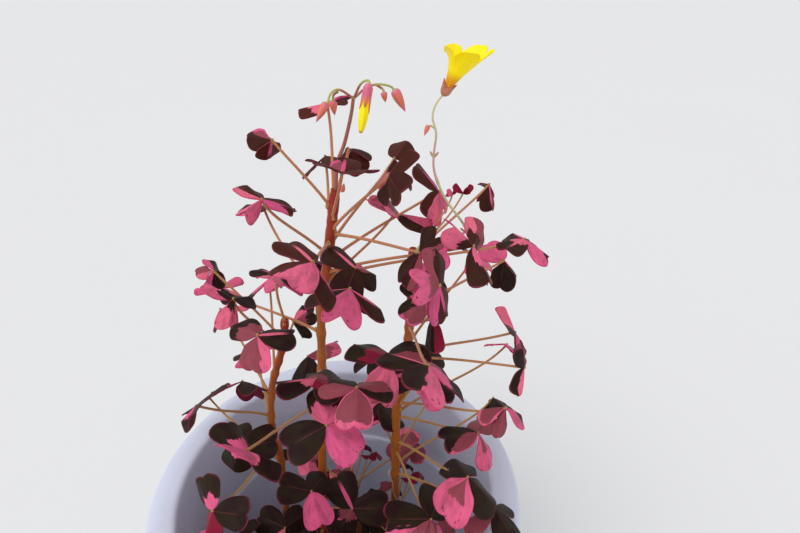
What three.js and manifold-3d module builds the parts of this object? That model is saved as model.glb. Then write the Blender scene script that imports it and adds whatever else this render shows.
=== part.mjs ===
// Potted Oxalis vulcanicola: a pale plastic pot with soil, three leafy stems, low young shoots,
// one open and one closed yellow flower. Millimetres, +Z up.
// The origin is the centre of the pot's underside; -Y is the side that faces the viewer.
import * as THREE from 'three';
import { mergeVertices } from 'three/addons/utils/BufferGeometryUtils.js';
import Module from 'manifold-3d';

const wasm = await Module();
wasm.setup();

// Pot
const RIM_RADIUS = 70;
const RIM_HEIGHT = 126;
const RIM_DEPTH = 20;
const CREST_HEIGHT = 130.5;
const MOUTH_RADIUS = 58.7;
const NECK_RADIUS = 60.4;
const LEDGE_HEIGHT = 88;
const LEDGE_RADIUS = 55.2;
const BASE_RADIUS = 47.5;
const BASE_ROUND = 1.5;
const FLOOR_THICKNESS = 3;
const WALL_THICKNESS = 2.1;
// Radius and height along the outside from the underside up, over the rim and down the inside
const POT_PROFILE = [
  [0, 0], [BASE_RADIUS - BASE_ROUND, 0], [BASE_RADIUS, BASE_ROUND],
  [NECK_RADIUS, RIM_HEIGHT - RIM_DEPTH], [RIM_RADIUS - 3.6, RIM_HEIGHT - 17],
  [RIM_RADIUS - 1, RIM_HEIGHT - 14], [RIM_RADIUS, RIM_HEIGHT], [RIM_RADIUS - 1.4, CREST_HEIGHT - 1.3],
  [64.5, CREST_HEIGHT], [MOUTH_RADIUS + 1.5, CREST_HEIGHT - 0.3], [MOUTH_RADIUS, CREST_HEIGHT - 1.5],
  [57.8, 122], [57, 113], [LEDGE_RADIUS + 1.3, LEDGE_HEIGHT + 1], [LEDGE_RADIUS, LEDGE_HEIGHT],
  [BASE_RADIUS - WALL_THICKNESS, FLOOR_THICKNESS + 2],
  [BASE_RADIUS - WALL_THICKNESS - 2, FLOOR_THICKNESS], [0, FLOOR_THICKNESS],
];
const POT_SIDES = 40;
const DRAIN_HOLES = 6;
const DRAIN_RADIUS = 4;
const DRAIN_RING_RADIUS = 28;
const DRAIN_SIDES = 12;

// The clearance that touching pieces keep
const GAP = 0.3;

// Soil: its outline keeps clear of the pot's wall and floor, and low waves run over its top
const SOIL_TOP = 42;
const SOIL_SIDES = 28;
const SOIL_WAVE = 0.9;
const SOIL_OUTLINE = [
  [0, FLOOR_THICKNESS + GAP], [42.9, FLOOR_THICKNESS + GAP], [44.9, FLOOR_THICKNESS + 2.2],
  [48.9, SOIL_TOP - 1.5], [46, SOIL_TOP + 0.4], [36, SOIL_TOP], [24, SOIL_TOP + 1.2],
  [12, SOIL_TOP + 0.4], [0, SOIL_TOP + 1],
];

// Stems: each foot stands in a plain hole in the soil
const STEM_FOOT = 28;
const STEM_SIDES = 6;
const STEM_STEPS = 2;
const HOLE_CLEARANCE = 0.35;
const HOLE_SIDES = 8;

// Leaves: three heart-shaped leaflets on a round petiole
const BLADE_THICKNESS = 0.75;
const TIP_DROP = 0.1;
const PETIOLE_RADIUS = 0.65;
const PETIOLE_STEPS = 3;
const PETIOLE_SIDES = 3;
const PETIOLE_KNEE = 0.36;
const PETIOLE_ARCH = 0.05;
const PETIOLE_NECK = 0.2;

// One half of a leaflet's outline: share of its length along the midrib, and share to the side
const LEAFLET_MIDDLE = 0.45;
const LEAFLET_NOTCH = 0.9;
const LEAFLET_EDGE = [[0.36, 0.38], [0.8, 0.52], [1.02, 0.24]];
// Between two leaflets the blade is cut in to this share of their length
const VALLEY = 0.12;
// Two leaflets that hang close together keep to this share of the room between them
const LEAFLET_ROOM = 0.9;
const LEAFLET_LEAN = 0.2;

// A leaf row: height of its node on the stem, hub x, y, z, the compass direction and the angle
// that its face leans, the turn of its first leaflet, each leaflet's droop, how far each one's
// halves hang from its midrib, and leaflet length
const STEMS = {
  stem_middle: {
    colour: 0x8a3318,
    radius: [2.0, 1.15],
    axis: [[-9, 3, STEM_FOOT], [-9, 3, 50], [-8, 3, 89], [-5, 2, 147], [-2, 2, 184], [0, 1, 209],
      [4, -1, 231], [7, 0, 250]],
    leaves: [
      [244, -7.1, -4.2, 264.7, -54, 68, 122, [68, 49, 52], [23, 33, 13], 7.7],
      [247, 5.4, 8.2, 270.2, 178, 11, 15, [-6, -24, -3], [31, 16, 29], 7.7],
      [241, 10.3, -10.2, 258.5, 65, 15, 25, [-25, -23, -19], [18, 2, 6], 8.7],
      [245, 10, 11.2, 257.1, -112, 38, 47, [62, 52, 43], [21, 25, 22], 8.9],
      [230, -9.6, -11.9, 252.2, 13, 25, 1, [-4, -2, 4], [2, 17, 53], 8.1],
      [200, -35.3, 15.9, 207.8, 117, 21, 79, [-14, 12, -15], [21, 31, 31], 8.5],
      [234, 5.5, -33.4, 247.3, 23, 22, -14, [39, -3, -2], [30, 10, 15], 10.7],
      [238, 21.7, -13.9, 259.2, -153, 63, 79, [-8, 22, 11], [13, 26, 22], 8.5],
      [218, 22.6, 14.7, 235.7, 20, 25, 93, [-11, -25, -19], [24, 15, 44], 11.6],
      [228, 35.8, 15.8, 242.5, -12, 53, 55, [10, 1, 16], [19, 14, 7], 10.5],
      [237, 29.4, -11.9, 237.3, -154, 63, 0, [-12, 2, 15], [8, 14, 32], 9.8],
      [224, 42.4, -15.2, 241.2, -37, 61, 101, [5, -15, -24], [29, 48, 34], 10.4],
      [222, 59.8, 2, 233.6, 126, 1, -24, [11, -6, 29], [26, 8, 20], 9],
      [216, 12.3, -10.9, 232, -32, 32, 54, [21, 6, 2], [26, 27, 6], 9.8],
      [212, 12.1, -24.7, 234.6, 58, 28, 89, [19, 20, 17], [38, 31, 35], 11.8],
      [168, -17.5, -34.5, 188.3, 52, 36, 84, [-19, -25, 7], [26, 7, 42], 11.8],
      [178, 4.1, -30.7, 193.9, 17, 12, 57, [9, 27, 11], [30, 8, 29], 14.7],
      [184, 0, -18.1, 198.9, 72, 15, 7, [9, -5, -2], [18, 29, 18], 11.4],
      [128, -7.6, -12.1, 138.9, -33, 24, 95, [21, -12, 5], [23, 5, 11], 12.2],
      [106, 6, -7.8, 122.3, -70, 38, 75, [-10, -13, 25], [4, 3, 15], 13.5],
      [190, -6.8, 29.9, 210.8, 90, 27, 76, [30, 41, 21], [25, 27, 29], 11.5],
      [233, 22.3, 31.1, 247.2, 3, 17, 68, [-25, 69, 26], [30, 27, 28], 11],
      [235, 1, 26.7, 249.5, 117, 24, 75, [27, 9, 6], [3, 23, 18], 9.6],
      [210, -19.9, 24.3, 233.6, 113, 23, 26, [-13, -4, 8], [34, 11, 16], 10.2],
      [146, -14.1, 36, 160, 172, 19, 89, [13, -5, 34], [14, 27, 23], 13.7],
    ],
  },
  stem_right: {
    colour: 0x97451c,
    radius: [2.0, 1.2],
    axis: [[19, 9, STEM_FOOT], [19, 9, 50], [21, 9, 77], [22, 9, 97], [23, 7, 160], [25, 6, 171],
      [27, 5, 196], [28, 3, 230]],
    leaves: [
      [227, 50.3, 14.2, 245.3, -54, 31, -8, [30, 42, 82], [42, 23, 24], 7.6],
      [206, 58.5, 18.3, 216.9, -133, 23, 10, [47, 67, -6], [18, 29, 19], 10.3],
      [204, 32.3, -37.7, 244.3, -35, 63, 6, [11, 8, -16], [16, 22, 23], 8.7],
      [204, 31.3, -15.5, 225.2, -67, 47, 66, [35, 33, 36], [20, 16, 29], 9.1],
      [168, 13, -30.5, 207.8, 58, 6, 40, [16, 43, 17], [2, 23, 15], 12.8],
      [190, 20.9, -15.6, 204.9, 24, 15, 124, [8, 38, -13], [15, 35, 15], 12.8],
      [200, 31, -34.5, 218.9, 25, 36, 114, [19, 1, 8], [26, 11, 2], 12.6],
      [200, 34, -4, 210, -154, 71, 33, [-10, -25, 9], [17, 7, 29], 10.2],
      [160, 31.5, -1.6, 186.7, -91, 32, 36, [2, 31, 18], [28, 22, 23], 12.8],
      [188, 60.8, 2, 200, -13, 57, 4, [-2, 4, -20], [24, 27, 22], 9.7],
      [186, 61.2, -12.1, 197.9, -32, 75, 68, [13, -10, -12], [27, 22, 46], 8.3],
      [163, 56.3, -16.7, 185.9, -22, 10, 44, [34, 41, 62], [24, 40, 50], 10.7],
      [156, 49.8, -12.3, 169.5, 133, 9, 63, [-12, 63, 12], [5, 33, 31], 12.7],
      [142, 45.6, -23.7, 162.5, 20, 3, 82, [23, 45, 38], [27, 3, 30], 14.7],
      [136, 34.2, -27.7, 146.5, -22, 22, 89, [9, 3, 28], [11, 11, 32], 14.9],
      [122, 56.2, -21.3, 142.3, 93, 27, 90, [18, 26, 12], [24, 21, 34], 12.1],
      [134, 16.3, 17.6, 152.5, 77, 29, 5, [47, 27, 32], [22, 20, 7], 12.4],
      [195, 34.7, 26.8, 211.3, 62, 30, 18, [27, 22, 35], [24, 25, 23], 11.5],
      [192, 51.4, 33.9, 209.4, 32, 36, 16, [-4, -9, 18], [23, 5, 25], 12],
      [144, 13.8, 36.7, 160.9, 96, 22, 68, [25, 21, 25], [29, 25, 23], 11.2],
      [134, 41, 34.2, 149.8, 60, 24, 109, [30, 31, 22], [27, 16, 21], 11],
      [128, 61.4, 20.8, 151.5, 86, 19, 82, [51, -5, 27], [23, 26, 27], 11],
      [158, 64.9, 24.5, 176, 51, 23, 74, [21, -21, 21], [2, 23, 20], 9.4],
    ],
  },
  stem_left: {
    colour: 0x9c2416,
    radius: [1.7, 1.1],
    axis: [[-27, 8, STEM_FOOT], [-27, 8, 50], [-26, 8, 80], [-23, 7, 132], [-24, 6, 148],
      [-21, 5, 172], [-14, 3, 194], [-12, 2, 205]],
    leaves: [
      [196, -32.2, 4.7, 221.5, -43, 59, 3, [29, 48, 60], [11, 24, 43], 7.7],
      [192, -24.2, -5.2, 217.9, 38, 34, 25, [-7, -13, 44], [26, 20, 33], 8.9],
      [203, -10.3, -5.8, 226.3, 30, 23, -9, [12, 8, -22], [10, 16, 23], 8.5],
      [186, -11.5, 10.7, 197.5, -134, 68, 18, [30, 22, 39], [25, 20, 22], 7.9],
      [198, -11.9, -25.4, 220.9, 25, 41, 130, [13, 6, -12], [9, 39, 16], 9.6],
      [170, -28.3, -1.1, 181.6, 99, 43, 102, [10, 8, 29], [3, 28, 10], 10.2],
      [158, -36.6, -17.7, 187.8, -172, 51, 116, [-19, 25, -7], [18, 5, 35], 9.5],
      [140, -33.3, -31.5, 157, -129, 53, 107, [26, -17, 14], [2, 16, 34], 11.1],
      [138, -32.5, -5.4, 154.3, -83, 47, 93, [9, 50, 36], [15, 24, 24], 13.5],
      [180, -24.7, 34.2, 199.3, 112, 23, 74, [28, 2, 18], [10, 27, 16], 11.4],
      [152, -31.2, 26.6, 171, 86, 28, 53, [8, 17, -24], [27, 4, 2], 11.4],
      [130, -53.5, 24.4, 147.7, 140, 43, 68, [-7, -13, -12], [6, 9, 10], 11.6],
      [168, -43.5, 30.3, 188.4, 166, 36, 116, [9, 28, 21], [28, 22, 30], 10.3],
    ],
  },
  shoot_back: {
    colour: 0x8e4a22,
    radius: [1.3, 0.9],
    axis: [[4, 24, STEM_FOOT], [4, 24, 50], [3, 21, 85], [1, 17, 110]],
    leaves: [
      [98, 29, 23.7, 119.6, -76, 33, 46, [33, 35, 26], [40, 22, 11], 11.8],
      [106, 4.9, 18.1, 141.1, 21, 20, 112, [44, 38, 53], [24, 22, 22], 11.7],
      [96, -20.8, 33.6, 105.4, 113, 12, 62, [3, 26, 8], [21, 23, 22], 11.3],
      [100, 4, 38.2, 118.4, 98, 38, 18, [12, 14, -7], [25, 24, 17], 10.6],
    ],
  },
  shoot_front_left: {
    colour: 0x8e4a22,
    radius: [1.3, 0.9],
    axis: [[-22, -20, STEM_FOOT], [-22, -20, 50], [-22, -22, 85], [-21, -25, 112]],
    leaves: [
      [84, -23.1, -2.6, 101.6, -47, 34, 88, [19, 21, 18], [21, 16, 24], 13.1],
      [104, -42, -36.1, 141.9, -153, 22, 21, [15, 15, 26], [24, 24, 25], 11],
      [108, -15, -46, 146, -75, 30, 60, [15, 15, 15], [24, 24, 24], 11],
      [92, -25.9, -37.1, 112.3, -120, 25, 90, [15, 15, 15], [24, 24, 24], 10],
      [88, -38, -12, 110, 169, 24, 31, [15, 16, 5], [23, 24, 23], 9.5],
    ],
  },
  shoot_front_right: {
    colour: 0x8e4a22,
    radius: [1.3, 0.9],
    axis: [[22, -24, STEM_FOOT], [22, -24, 50], [22, -27, 85], [20, -30, 108]],
    leaves: [
      [104, 30.1, -52.1, 140.1, -60, 25, 40, [10, 10, 10], [24, 24, 24], 11],
      [106, 8, -48, 142, -105, 30, 15, [20, 20, 20], [24, 24, 24], 11],
      [90, 29.9, -35.8, 109.8, -30, 25, 70, [15, 15, 15], [24, 24, 24], 10],
      [86, 36.2, -12, 111.9, 30, 16, 1, [-10, 11, 16], [25, 25, 22], 10.4],
    ],
  },
};

// Flowering stalks, each from a stem's tip: points along it and its radius
const STALK_RADIUS = 0.65;
const PEDICEL_RADIUS = 0.5;
const STALK_SIDES = 4;
const MIDDLE_STALK = [[7, 0, 249], [8, 0, 257], [10, 1, 262], [12, 1, 269], [13, 0, 274]];
const BUD_STALKS = [
  [[13, 0, 273.5], [10, -2, 276], [8, -3, 275.5], [7, -4, 273]],
  [[9.5, -2, 275.6], [8.3, -1.4, 274.6], [8, -1, 272.5]],
  [[13, 0, 273.5], [15, -3, 277.5], [17, -6, 279], [17.2, -7, 278]],
  [[13, 0, 273.5], [16, 2, 275.6], [19, 3, 276.2], [22, 4, 275.4], [23, 4, 274]],
  [[18.5, 2.9, 276], [20, 3, 275], [20.3, 3, 273.8]],
];
// A bud's outline: share of its length, share of its greatest radius
const BUD_OUTLINE = [[0, 0], [0.02, 0.55], [0.3, 1], [0.65, 0.7], [1, 0]];
const BUD_SIDES = 5;
// Pink buds: top, tip and greatest radius
const BUDS = [
  [[7, -4, 273.4], [4.2, -5.2, 269.6], 0.95],
  [[8, -1, 273], [8.2, -1.4, 269.8], 0.8],
  [[23, 4, 274.6], [25.2, 4.2, 269.6], 1.15],
  [[20.2, 3, 274.2], [20.6, 3.2, 272], 0.65],
];
const FLOWER_STALK = [[28, 3, 228], [31, 1, 233], [36, -2, 236], [41, -3, 238], [41.5, -4, 241],
  [36, -4, 249], [33, -4, 256], [32.6, -4, 261], [33, -4, 266], [32, -4, 270], [32.6, -4, 273],
  [34.4, -4, 275.6]];
const SMALL_BUD_STALK = [[32.6, -4, 267.4], [31.4, -5, 268.4], [30.8, -5.4, 268]];
const SMALL_BUD = [[31, -5.3, 268.6], [29.7, -6, 265.8], 0.85];
// Small green bracts at the stalk's joints: root, tip
const BRACT_RADIUS = 0.5;
const BRACTS = [
  [[41.5, -4, 239.4], [44.6, -4.4, 240.6]],
  [[41.5, -4, 239.4], [39.6, -4.8, 241.4]],
  [[32.6, -4, 260], [34.6, -4.6, 262.2]],
  [[32.6, -4, 260], [30.9, -3.6, 261.8]],
];

// Open flower: calyx cup and a funnel of five joined petals
const OPEN_BASE = new THREE.Vector3(34.4, -4, 275.4);
const OPEN_DIRECTION = new THREE.Vector3(0.45, 0.22, 0.87).normalize();
const OPEN_LENGTH = 11.6;
const CUP_LENGTH = 2.6;
const CUP_RADIUS = 2.0;
const CUP_BORE = 1.35;
const CUP_BORE_DEPTH = 1.3;
const CUP_SIDES = 10;
const PETALS = 5;
const PETAL_THICKNESS = 0.6;
// The funnel's outside: share of its length, radius
const FUNNEL_ROWS = [[0, 1.0], [0.14, 1.05], [0.42, 1.9], [0.7, 3.3], [1, 4.9]];
const FUNNEL_SIDES = 25;
// Between two petals the lip is lower by this share of the length, and over each it spreads more
const LOBE_RISE = 0.24;
const LOBE_SPREAD = 0.1;

// Closed flower: calyx top, and a spindle of rolled petals that hangs from it
const CLOSED_TOP = new THREE.Vector3(17.2, -7, 278.6);
const CLOSED_DIRECTION = new THREE.Vector3(-0.2, -0.15, -0.97).normalize();
const CLOSED_CALYX = 3.2;
const CLOSED_LENGTH = 11.2;
const CLOSED_RADIUS = 1.3;
const CLOSED_SIDES = 10;

// Colours
const POT_COLOUR = 0xe9ecf5;
const SOIL_COLOUR = 0x3a2a20;
const OPEN_COLOUR = 0xf7dc0a;
const CLOSED_COLOUR = 0xf3c80c;

const part = new THREE.Group();

function radians(degrees) {
  return THREE.MathUtils.degToRad(degrees);
}

function vector(point) {
  return new THREE.Vector3(point[0], point[1], point[2]);
}

// Turns a closed geometry into a solid that can be joined and cut
function solidOf(geometry) {
  const bare = geometry.index ? geometry.toNonIndexed() : geometry.clone();
  bare.deleteAttribute('uv');
  bare.deleteAttribute('normal');
  const merged = mergeVertices(bare, 1e-4);
  return new wasm.Manifold(new wasm.Mesh({
    numProp: 3,
    vertProperties: new Float32Array(merged.attributes.position.array),
    triVerts: new Uint32Array(merged.index.array),
  }));
}

function geometryOf(solid) {
  const mesh = solid.getMesh();
  const geometry = new THREE.BufferGeometry();
  geometry.setAttribute('position', new THREE.BufferAttribute(mesh.vertProperties, 3));
  geometry.setIndex(new THREE.BufferAttribute(mesh.triVerts, 1));
  geometry.computeVertexNormals();
  return geometry;
}

function joined(solids) {
  return solids.reduce((whole, next) => whole.add(next));
}

function addPiece(name, solid, colour, roughness) {
  const material = new THREE.MeshStandardMaterial({ color: colour, roughness, metalness: 0 });
  const mesh = new THREE.Mesh(geometryOf(solid), material);
  mesh.name = name;
  part.add(mesh);
}

function meshSolid(points, faces) {
  const geometry = new THREE.BufferGeometry();
  geometry.setAttribute('position', new THREE.Float32BufferAttribute(points.flat(), 3));
  geometry.setIndex(faces.flat());
  return solidOf(geometry);
}

// A round rod along a curve, its radius running evenly from one end's to the other's
function rod(curve, startRadius, endRadius, steps, sides) {
  const frames = curve.computeFrenetFrames(steps, false);
  const points = [];
  const faces = [];
  for (let i = 0; i <= steps; i += 1) {
    const centre = curve.getPointAt(i / steps);
    const radius = startRadius + (endRadius - startRadius) * (i / steps);
    for (let j = 0; j < sides; j += 1) {
      const angle = (j / sides) * 2 * Math.PI;
      const point = centre.clone()
        .addScaledVector(frames.normals[i], radius * Math.cos(angle))
        .addScaledVector(frames.binormals[i], radius * Math.sin(angle));
      points.push(point.toArray());
    }
  }
  for (let i = 0; i < steps; i += 1) {
    for (let j = 0; j < sides; j += 1) {
      const a = i * sides + j;
      const b = i * sides + ((j + 1) % sides);
      faces.push([a, b, b + sides], [a, b + sides, a + sides]);
    }
  }
  for (let j = 1; j < sides - 1; j += 1) {
    const last = steps * sides;
    faces.push([0, j + 1, j], [last, last + j, last + j + 1]);
  }
  return meshSolid(points, faces);
}

function curveThrough(points) {
  return new THREE.CatmullRomCurve3(points.map(vector), false, 'catmullrom', 0.5);
}

// A lathe shape whose profile runs along a direction from a point: rows of distance, radius
function spindle(start, direction, profile, sides) {
  const outline = profile.map(([distance, radius]) => new THREE.Vector2(radius, distance));
  const geometry = new THREE.LatheGeometry(outline, sides);
  const turn = new THREE.Quaternion().setFromUnitVectors(new THREE.Vector3(0, 1, 0), direction);
  geometry.applyQuaternion(turn);
  geometry.translate(start.x, start.y, start.z);
  return solidOf(geometry);
}

// The point of a stem's axis at a height
function stemPoint(axis, height) {
  const upper = Math.max(1, axis.findIndex((point) => point[2] >= height));
  const [a, b] = [vector(axis[upper - 1]), vector(axis[upper])];
  return a.lerp(b, (height - a.z) / (b.z - a.z));
}

// A leaf's own directions: its face's normal, the way its face leans, and the way across
function leafFrame(lean, tilt) {
  const [compass, slope] = [radians(lean), radians(tilt)];
  const normal = new THREE.Vector3(
    Math.sin(slope) * Math.cos(compass), Math.sin(slope) * Math.sin(compass), Math.cos(slope));
  const downhill = new THREE.Vector3(
    Math.cos(slope) * Math.cos(compass), Math.cos(slope) * Math.sin(compass), -Math.sin(slope));
  return { normal, downhill, across: new THREE.Vector3().crossVectors(normal, downhill) };
}

// The direction in a leaf's plane at an angle from the way it leans
function inPlane({ downhill, across }, angle) {
  return downhill.clone().multiplyScalar(Math.cos(angle)).addScaledVector(across, Math.sin(angle));
}

// Half width of a leaflet as a share of its length, narrowed so that drooping ones stay apart
function leafletWidth(share, side, droop, fold) {
  const reach = Math.sqrt(3) * Math.cos(droop);
  const lean = Math.cos(fold) + Math.sqrt(3) * Math.sin(fold) * Math.sin(droop);
  const widest = reach / Math.max(LEAFLET_LEAN, lean);
  return Math.min(side, LEAFLET_ROOM * widest * share);
}

// Three heart-shaped leaflets in one blade, each roof-folded on its midrib and arched to its tip.
// Both faces are split into the same triangles: one at the hub, and a fan from each midrib.
function leafBlade(hub, frame, spin, droops, folds, length) {
  const points = [];
  const lifts = [];
  const add = (point, up) => {
    points.push(point);
    lifts.push(up.clone().multiplyScalar(BLADE_THICKNESS / 2));
    return points.length - 1;
  };
  const valleys = [0, 1, 2].map((k) => {
    const outward = inPlane(frame, spin + ((2 * k - 1) * Math.PI) / 3);
    const valley = hub.clone().addScaledVector(outward, VALLEY * length);
    return add(valley, frame.normal);
  });
  const top = [valleys];
  const rim = [];
  for (let k = 0; k < 3; k += 1) {
    const turn = spin + (2 * k * Math.PI) / 3;
    const [droop, fold] = [radians(droops[k]), radians(folds[k])];
    const side = inPlane(frame, turn + Math.PI / 2);
    const along = inPlane(frame, turn).multiplyScalar(Math.cos(droop))
      .addScaledVector(frame.normal, -Math.sin(droop));
    const up = new THREE.Vector3().crossVectors(along, side);
    const place = (share, across) => {
      const width = leafletWidth(share, Math.abs(across), droop, fold);
      const drop = width * Math.sin(fold) + TIP_DROP * share * share;
      return add(hub.clone()
        .addScaledVector(along, share * length)
        .addScaledVector(side, Math.sign(across) * width * Math.cos(fold) * length)
        .addScaledVector(up, -drop * length), up);
    };
    const middle = place(LEAFLET_MIDDLE, 0);
    const notch = place(LEAFLET_NOTCH, 0);
    const right = LEAFLET_EDGE.map(([share, width]) => place(share, -width));
    const left = LEAFLET_EDGE.map(([share, width]) => place(share, width));
    const [before, after] = [valleys[k], valleys[(k + 1) % 3]];
    top.push([before, middle, after]);
    top.push([before, right[0], middle], [right[0], right[1], middle], [right[1], notch, middle],
      [right[1], right[2], notch]);
    top.push([middle, left[0], after], [left[0], middle, left[1]], [left[1], middle, notch],
      [left[1], notch, left[2]]);
    rim.push(before, ...right, notch, ...left.slice().reverse());
  }
  const count = points.length;
  const upper = points.map((point, i) => point.clone().add(lifts[i]).toArray());
  const lower = points.map((point, i) => point.clone().sub(lifts[i]).toArray());
  const faces = top.flatMap(([a, b, c]) => [[a, b, c], [a + count, c + count, b + count]]);
  rim.forEach((a, i) => {
    const b = rim[(i + 1) % rim.length];
    faces.push([a, a + count, b + count], [a, b + count, b]);
  });
  return meshSolid([...upper, ...lower], faces);
}

// A leaf: a petiole that rises from the stem into the underside of the blade
function leafSolids(axis, [height, x, y, z, lean, tilt, spin, droops, folds, length]) {
  const root = stemPoint(axis, height);
  const hub = new THREE.Vector3(x, y, z);
  const frame = leafFrame(lean, tilt);
  const reach = root.distanceTo(hub);
  const first = root.clone().lerp(hub, PETIOLE_KNEE);
  first.z += PETIOLE_ARCH * reach;
  const rise = Math.max(0, hub.clone().sub(root).dot(frame.normal));
  const second = hub.clone().lerp(root, PETIOLE_NECK)
    .addScaledVector(frame.normal, -PETIOLE_NECK * rise);
  const path = new THREE.CubicBezierCurve3(root, first, second, hub);
  return [
    rod(path, PETIOLE_RADIUS, PETIOLE_RADIUS, PETIOLE_STEPS, PETIOLE_SIDES),
    leafBlade(hub, frame, radians(spin), droops, folds, length),
  ];
}

// A lathe solid that stands on its axis, from rows of radius, height
function turned(rows, sides) {
  const outline = rows.map(([radius, height]) => new THREE.Vector2(radius, height));
  const geometry = new THREE.LatheGeometry(outline, sides);
  geometry.rotateX(Math.PI / 2);
  return geometry;
}

// An upright cylinder to cut a hole with
function drill(x, y, bottom, height, radius, sides) {
  const geometry = new THREE.CylinderGeometry(radius, radius, height, sides);
  geometry.rotateX(Math.PI / 2);
  geometry.translate(x, y, bottom + height / 2);
  return solidOf(geometry);
}

// Pot: one moulded wall with a rolled rim, a ledge inside below it, and holes in its floor
function pot() {
  let solid = solidOf(turned(POT_PROFILE, POT_SIDES));
  for (let i = 0; i < DRAIN_HOLES; i += 1) {
    const angle = (i / DRAIN_HOLES) * 2 * Math.PI;
    const x = DRAIN_RING_RADIUS * Math.cos(angle);
    const y = DRAIN_RING_RADIUS * Math.sin(angle);
    const hole = drill(x, y, -FLOOR_THICKNESS, 3 * FLOOR_THICKNESS, DRAIN_RADIUS, DRAIN_SIDES);
    solid = solid.subtract(hole);
  }
  addPiece('pot', solid, POT_COLOUR, 0.35);
}

// Soil: fills the pot to SOIL_TOP, uneven on top, with a plain hole for each stem's foot
function soil() {
  const body = turned(SOIL_OUTLINE, SOIL_SIDES);
  const position = body.attributes.position;
  for (let i = 0; i < position.count; i += 1) {
    const [x, y, z] = [position.getX(i), position.getY(i), position.getZ(i)];
    if (z > SOIL_TOP - 1) {
      position.setZ(i, z + SOIL_WAVE * Math.sin(0.21 * x + 1) * Math.cos(0.17 * y - 0.6));
    }
  }
  let solid = solidOf(body);
  Object.values(STEMS).forEach(({ axis, radius }) => {
    const [[x, y]] = axis;
    const hole = drill(x, y, STEM_FOOT - GAP, SOIL_TOP, radius[0] + HOLE_CLEARANCE, HOLE_SIDES);
    solid = solid.subtract(hole);
  });
  addPiece('soil', solid, SOIL_COLOUR, 0.95);
}

function bud([top, tip, radius]) {
  const start = vector(top);
  const direction = vector(tip).sub(start);
  const length = direction.length();
  const profile = BUD_OUTLINE.map(([share, width]) => [share * length, width * radius]);
  return spindle(start, direction.normalize(), profile, BUD_SIDES);
}

// A pointed bract whose foot is sunk into the stalk
function bract([root, tip]) {
  const start = vector(root);
  const direction = vector(tip).sub(start);
  const length = direction.length();
  const profile = [[-0.3, 0], [0, 0.8 * BRACT_RADIUS], [0.5 * length, BRACT_RADIUS], [length, 0]];
  return spindle(start, direction.normalize(), profile, STALK_SIDES);
}

// The calyx of the open flower: a cup that holds the foot of the funnel
function openCalyx() {
  const floor = CUP_LENGTH - CUP_BORE_DEPTH;
  const profile = [
    [-0.4, 0], [-0.2, 0.45 * CUP_RADIUS], [0.9, 0.9 * CUP_RADIUS], [CUP_LENGTH, CUP_RADIUS],
    [CUP_LENGTH, CUP_BORE], [floor, CUP_BORE], [floor, 0],
  ];
  return spindle(OPEN_BASE, OPEN_DIRECTION, profile, CUP_SIDES);
}

// The calyx of the closed flower: a solid bell whose flat end meets the rolled petals
function closedCalyx() {
  const profile = [
    [-0.3, 0], [0, 0.7], [1, 1.2], [CLOSED_CALYX, CLOSED_RADIUS], [CLOSED_CALYX, 0],
  ];
  return spindle(CLOSED_TOP, CLOSED_DIRECTION, profile, CLOSED_SIDES - 2);
}

// The funnel of five joined petals: a thin wall whose lip rises and spreads over each petal
function openCorolla() {
  const side = new THREE.Vector3(0, 1, 0).cross(OPEN_DIRECTION).normalize();
  const other = new THREE.Vector3().crossVectors(OPEN_DIRECTION, side);
  const foot = OPEN_BASE.clone()
    .addScaledVector(OPEN_DIRECTION, CUP_LENGTH - CUP_BORE_DEPTH + GAP);
  const place = (share, radius, angle, inset) => {
    const petal = Math.abs(Math.cos((PETALS * angle) / 2));
    const rise = share * (1 - LOBE_RISE * share * (1 - petal) ** 1.5);
    const spread = radius * (1 + LOBE_SPREAD * share * petal) - inset;
    return foot.clone()
      .addScaledVector(OPEN_DIRECTION, rise * OPEN_LENGTH)
      .addScaledVector(side, spread * Math.cos(angle))
      .addScaledVector(other, spread * Math.sin(angle))
      .toArray();
  };
  const points = [];
  const faces = [];
  [0, PETAL_THICKNESS].forEach((inset) => {
    FUNNEL_ROWS.forEach(([share, radius]) => {
      for (let j = 0; j < FUNNEL_SIDES; j += 1) {
        points.push(place(share, radius, (j / FUNNEL_SIDES) * 2 * Math.PI, inset));
      }
    });
  });
  const last = FUNNEL_ROWS.length - 1;
  const layer = FUNNEL_ROWS.length * FUNNEL_SIDES;
  const quad = (a, b, c, d) => faces.push([a, b, c], [a, c, d]);
  for (let j = 0; j < FUNNEL_SIDES; j += 1) {
    const k = (j + 1) % FUNNEL_SIDES;
    for (let i = 0; i < last; i += 1) {
      const [low, high] = [i * FUNNEL_SIDES, (i + 1) * FUNNEL_SIDES];
      quad(low + j, low + k, high + k, high + j);
      quad(layer + low + k, layer + low + j, layer + high + j, layer + high + k);
    }
    const lip = last * FUNNEL_SIDES;
    quad(lip + j, lip + k, layer + lip + k, layer + lip + j);
    quad(k, j, layer + j, layer + k);
  }
  return meshSolid(points, faces);
}

// The closed flower's rolled petals
function closedCorolla() {
  const start = CLOSED_CALYX + GAP;
  const profile = [
    [start, 0], [start, 1.15], [start + 1.5, CLOSED_RADIUS], [CLOSED_LENGTH - 3, 1.25],
    [CLOSED_LENGTH - 1, 0.8], [CLOSED_LENGTH, 0],
  ];
  return spindle(CLOSED_TOP, CLOSED_DIRECTION, profile, CLOSED_SIDES);
}

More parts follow.
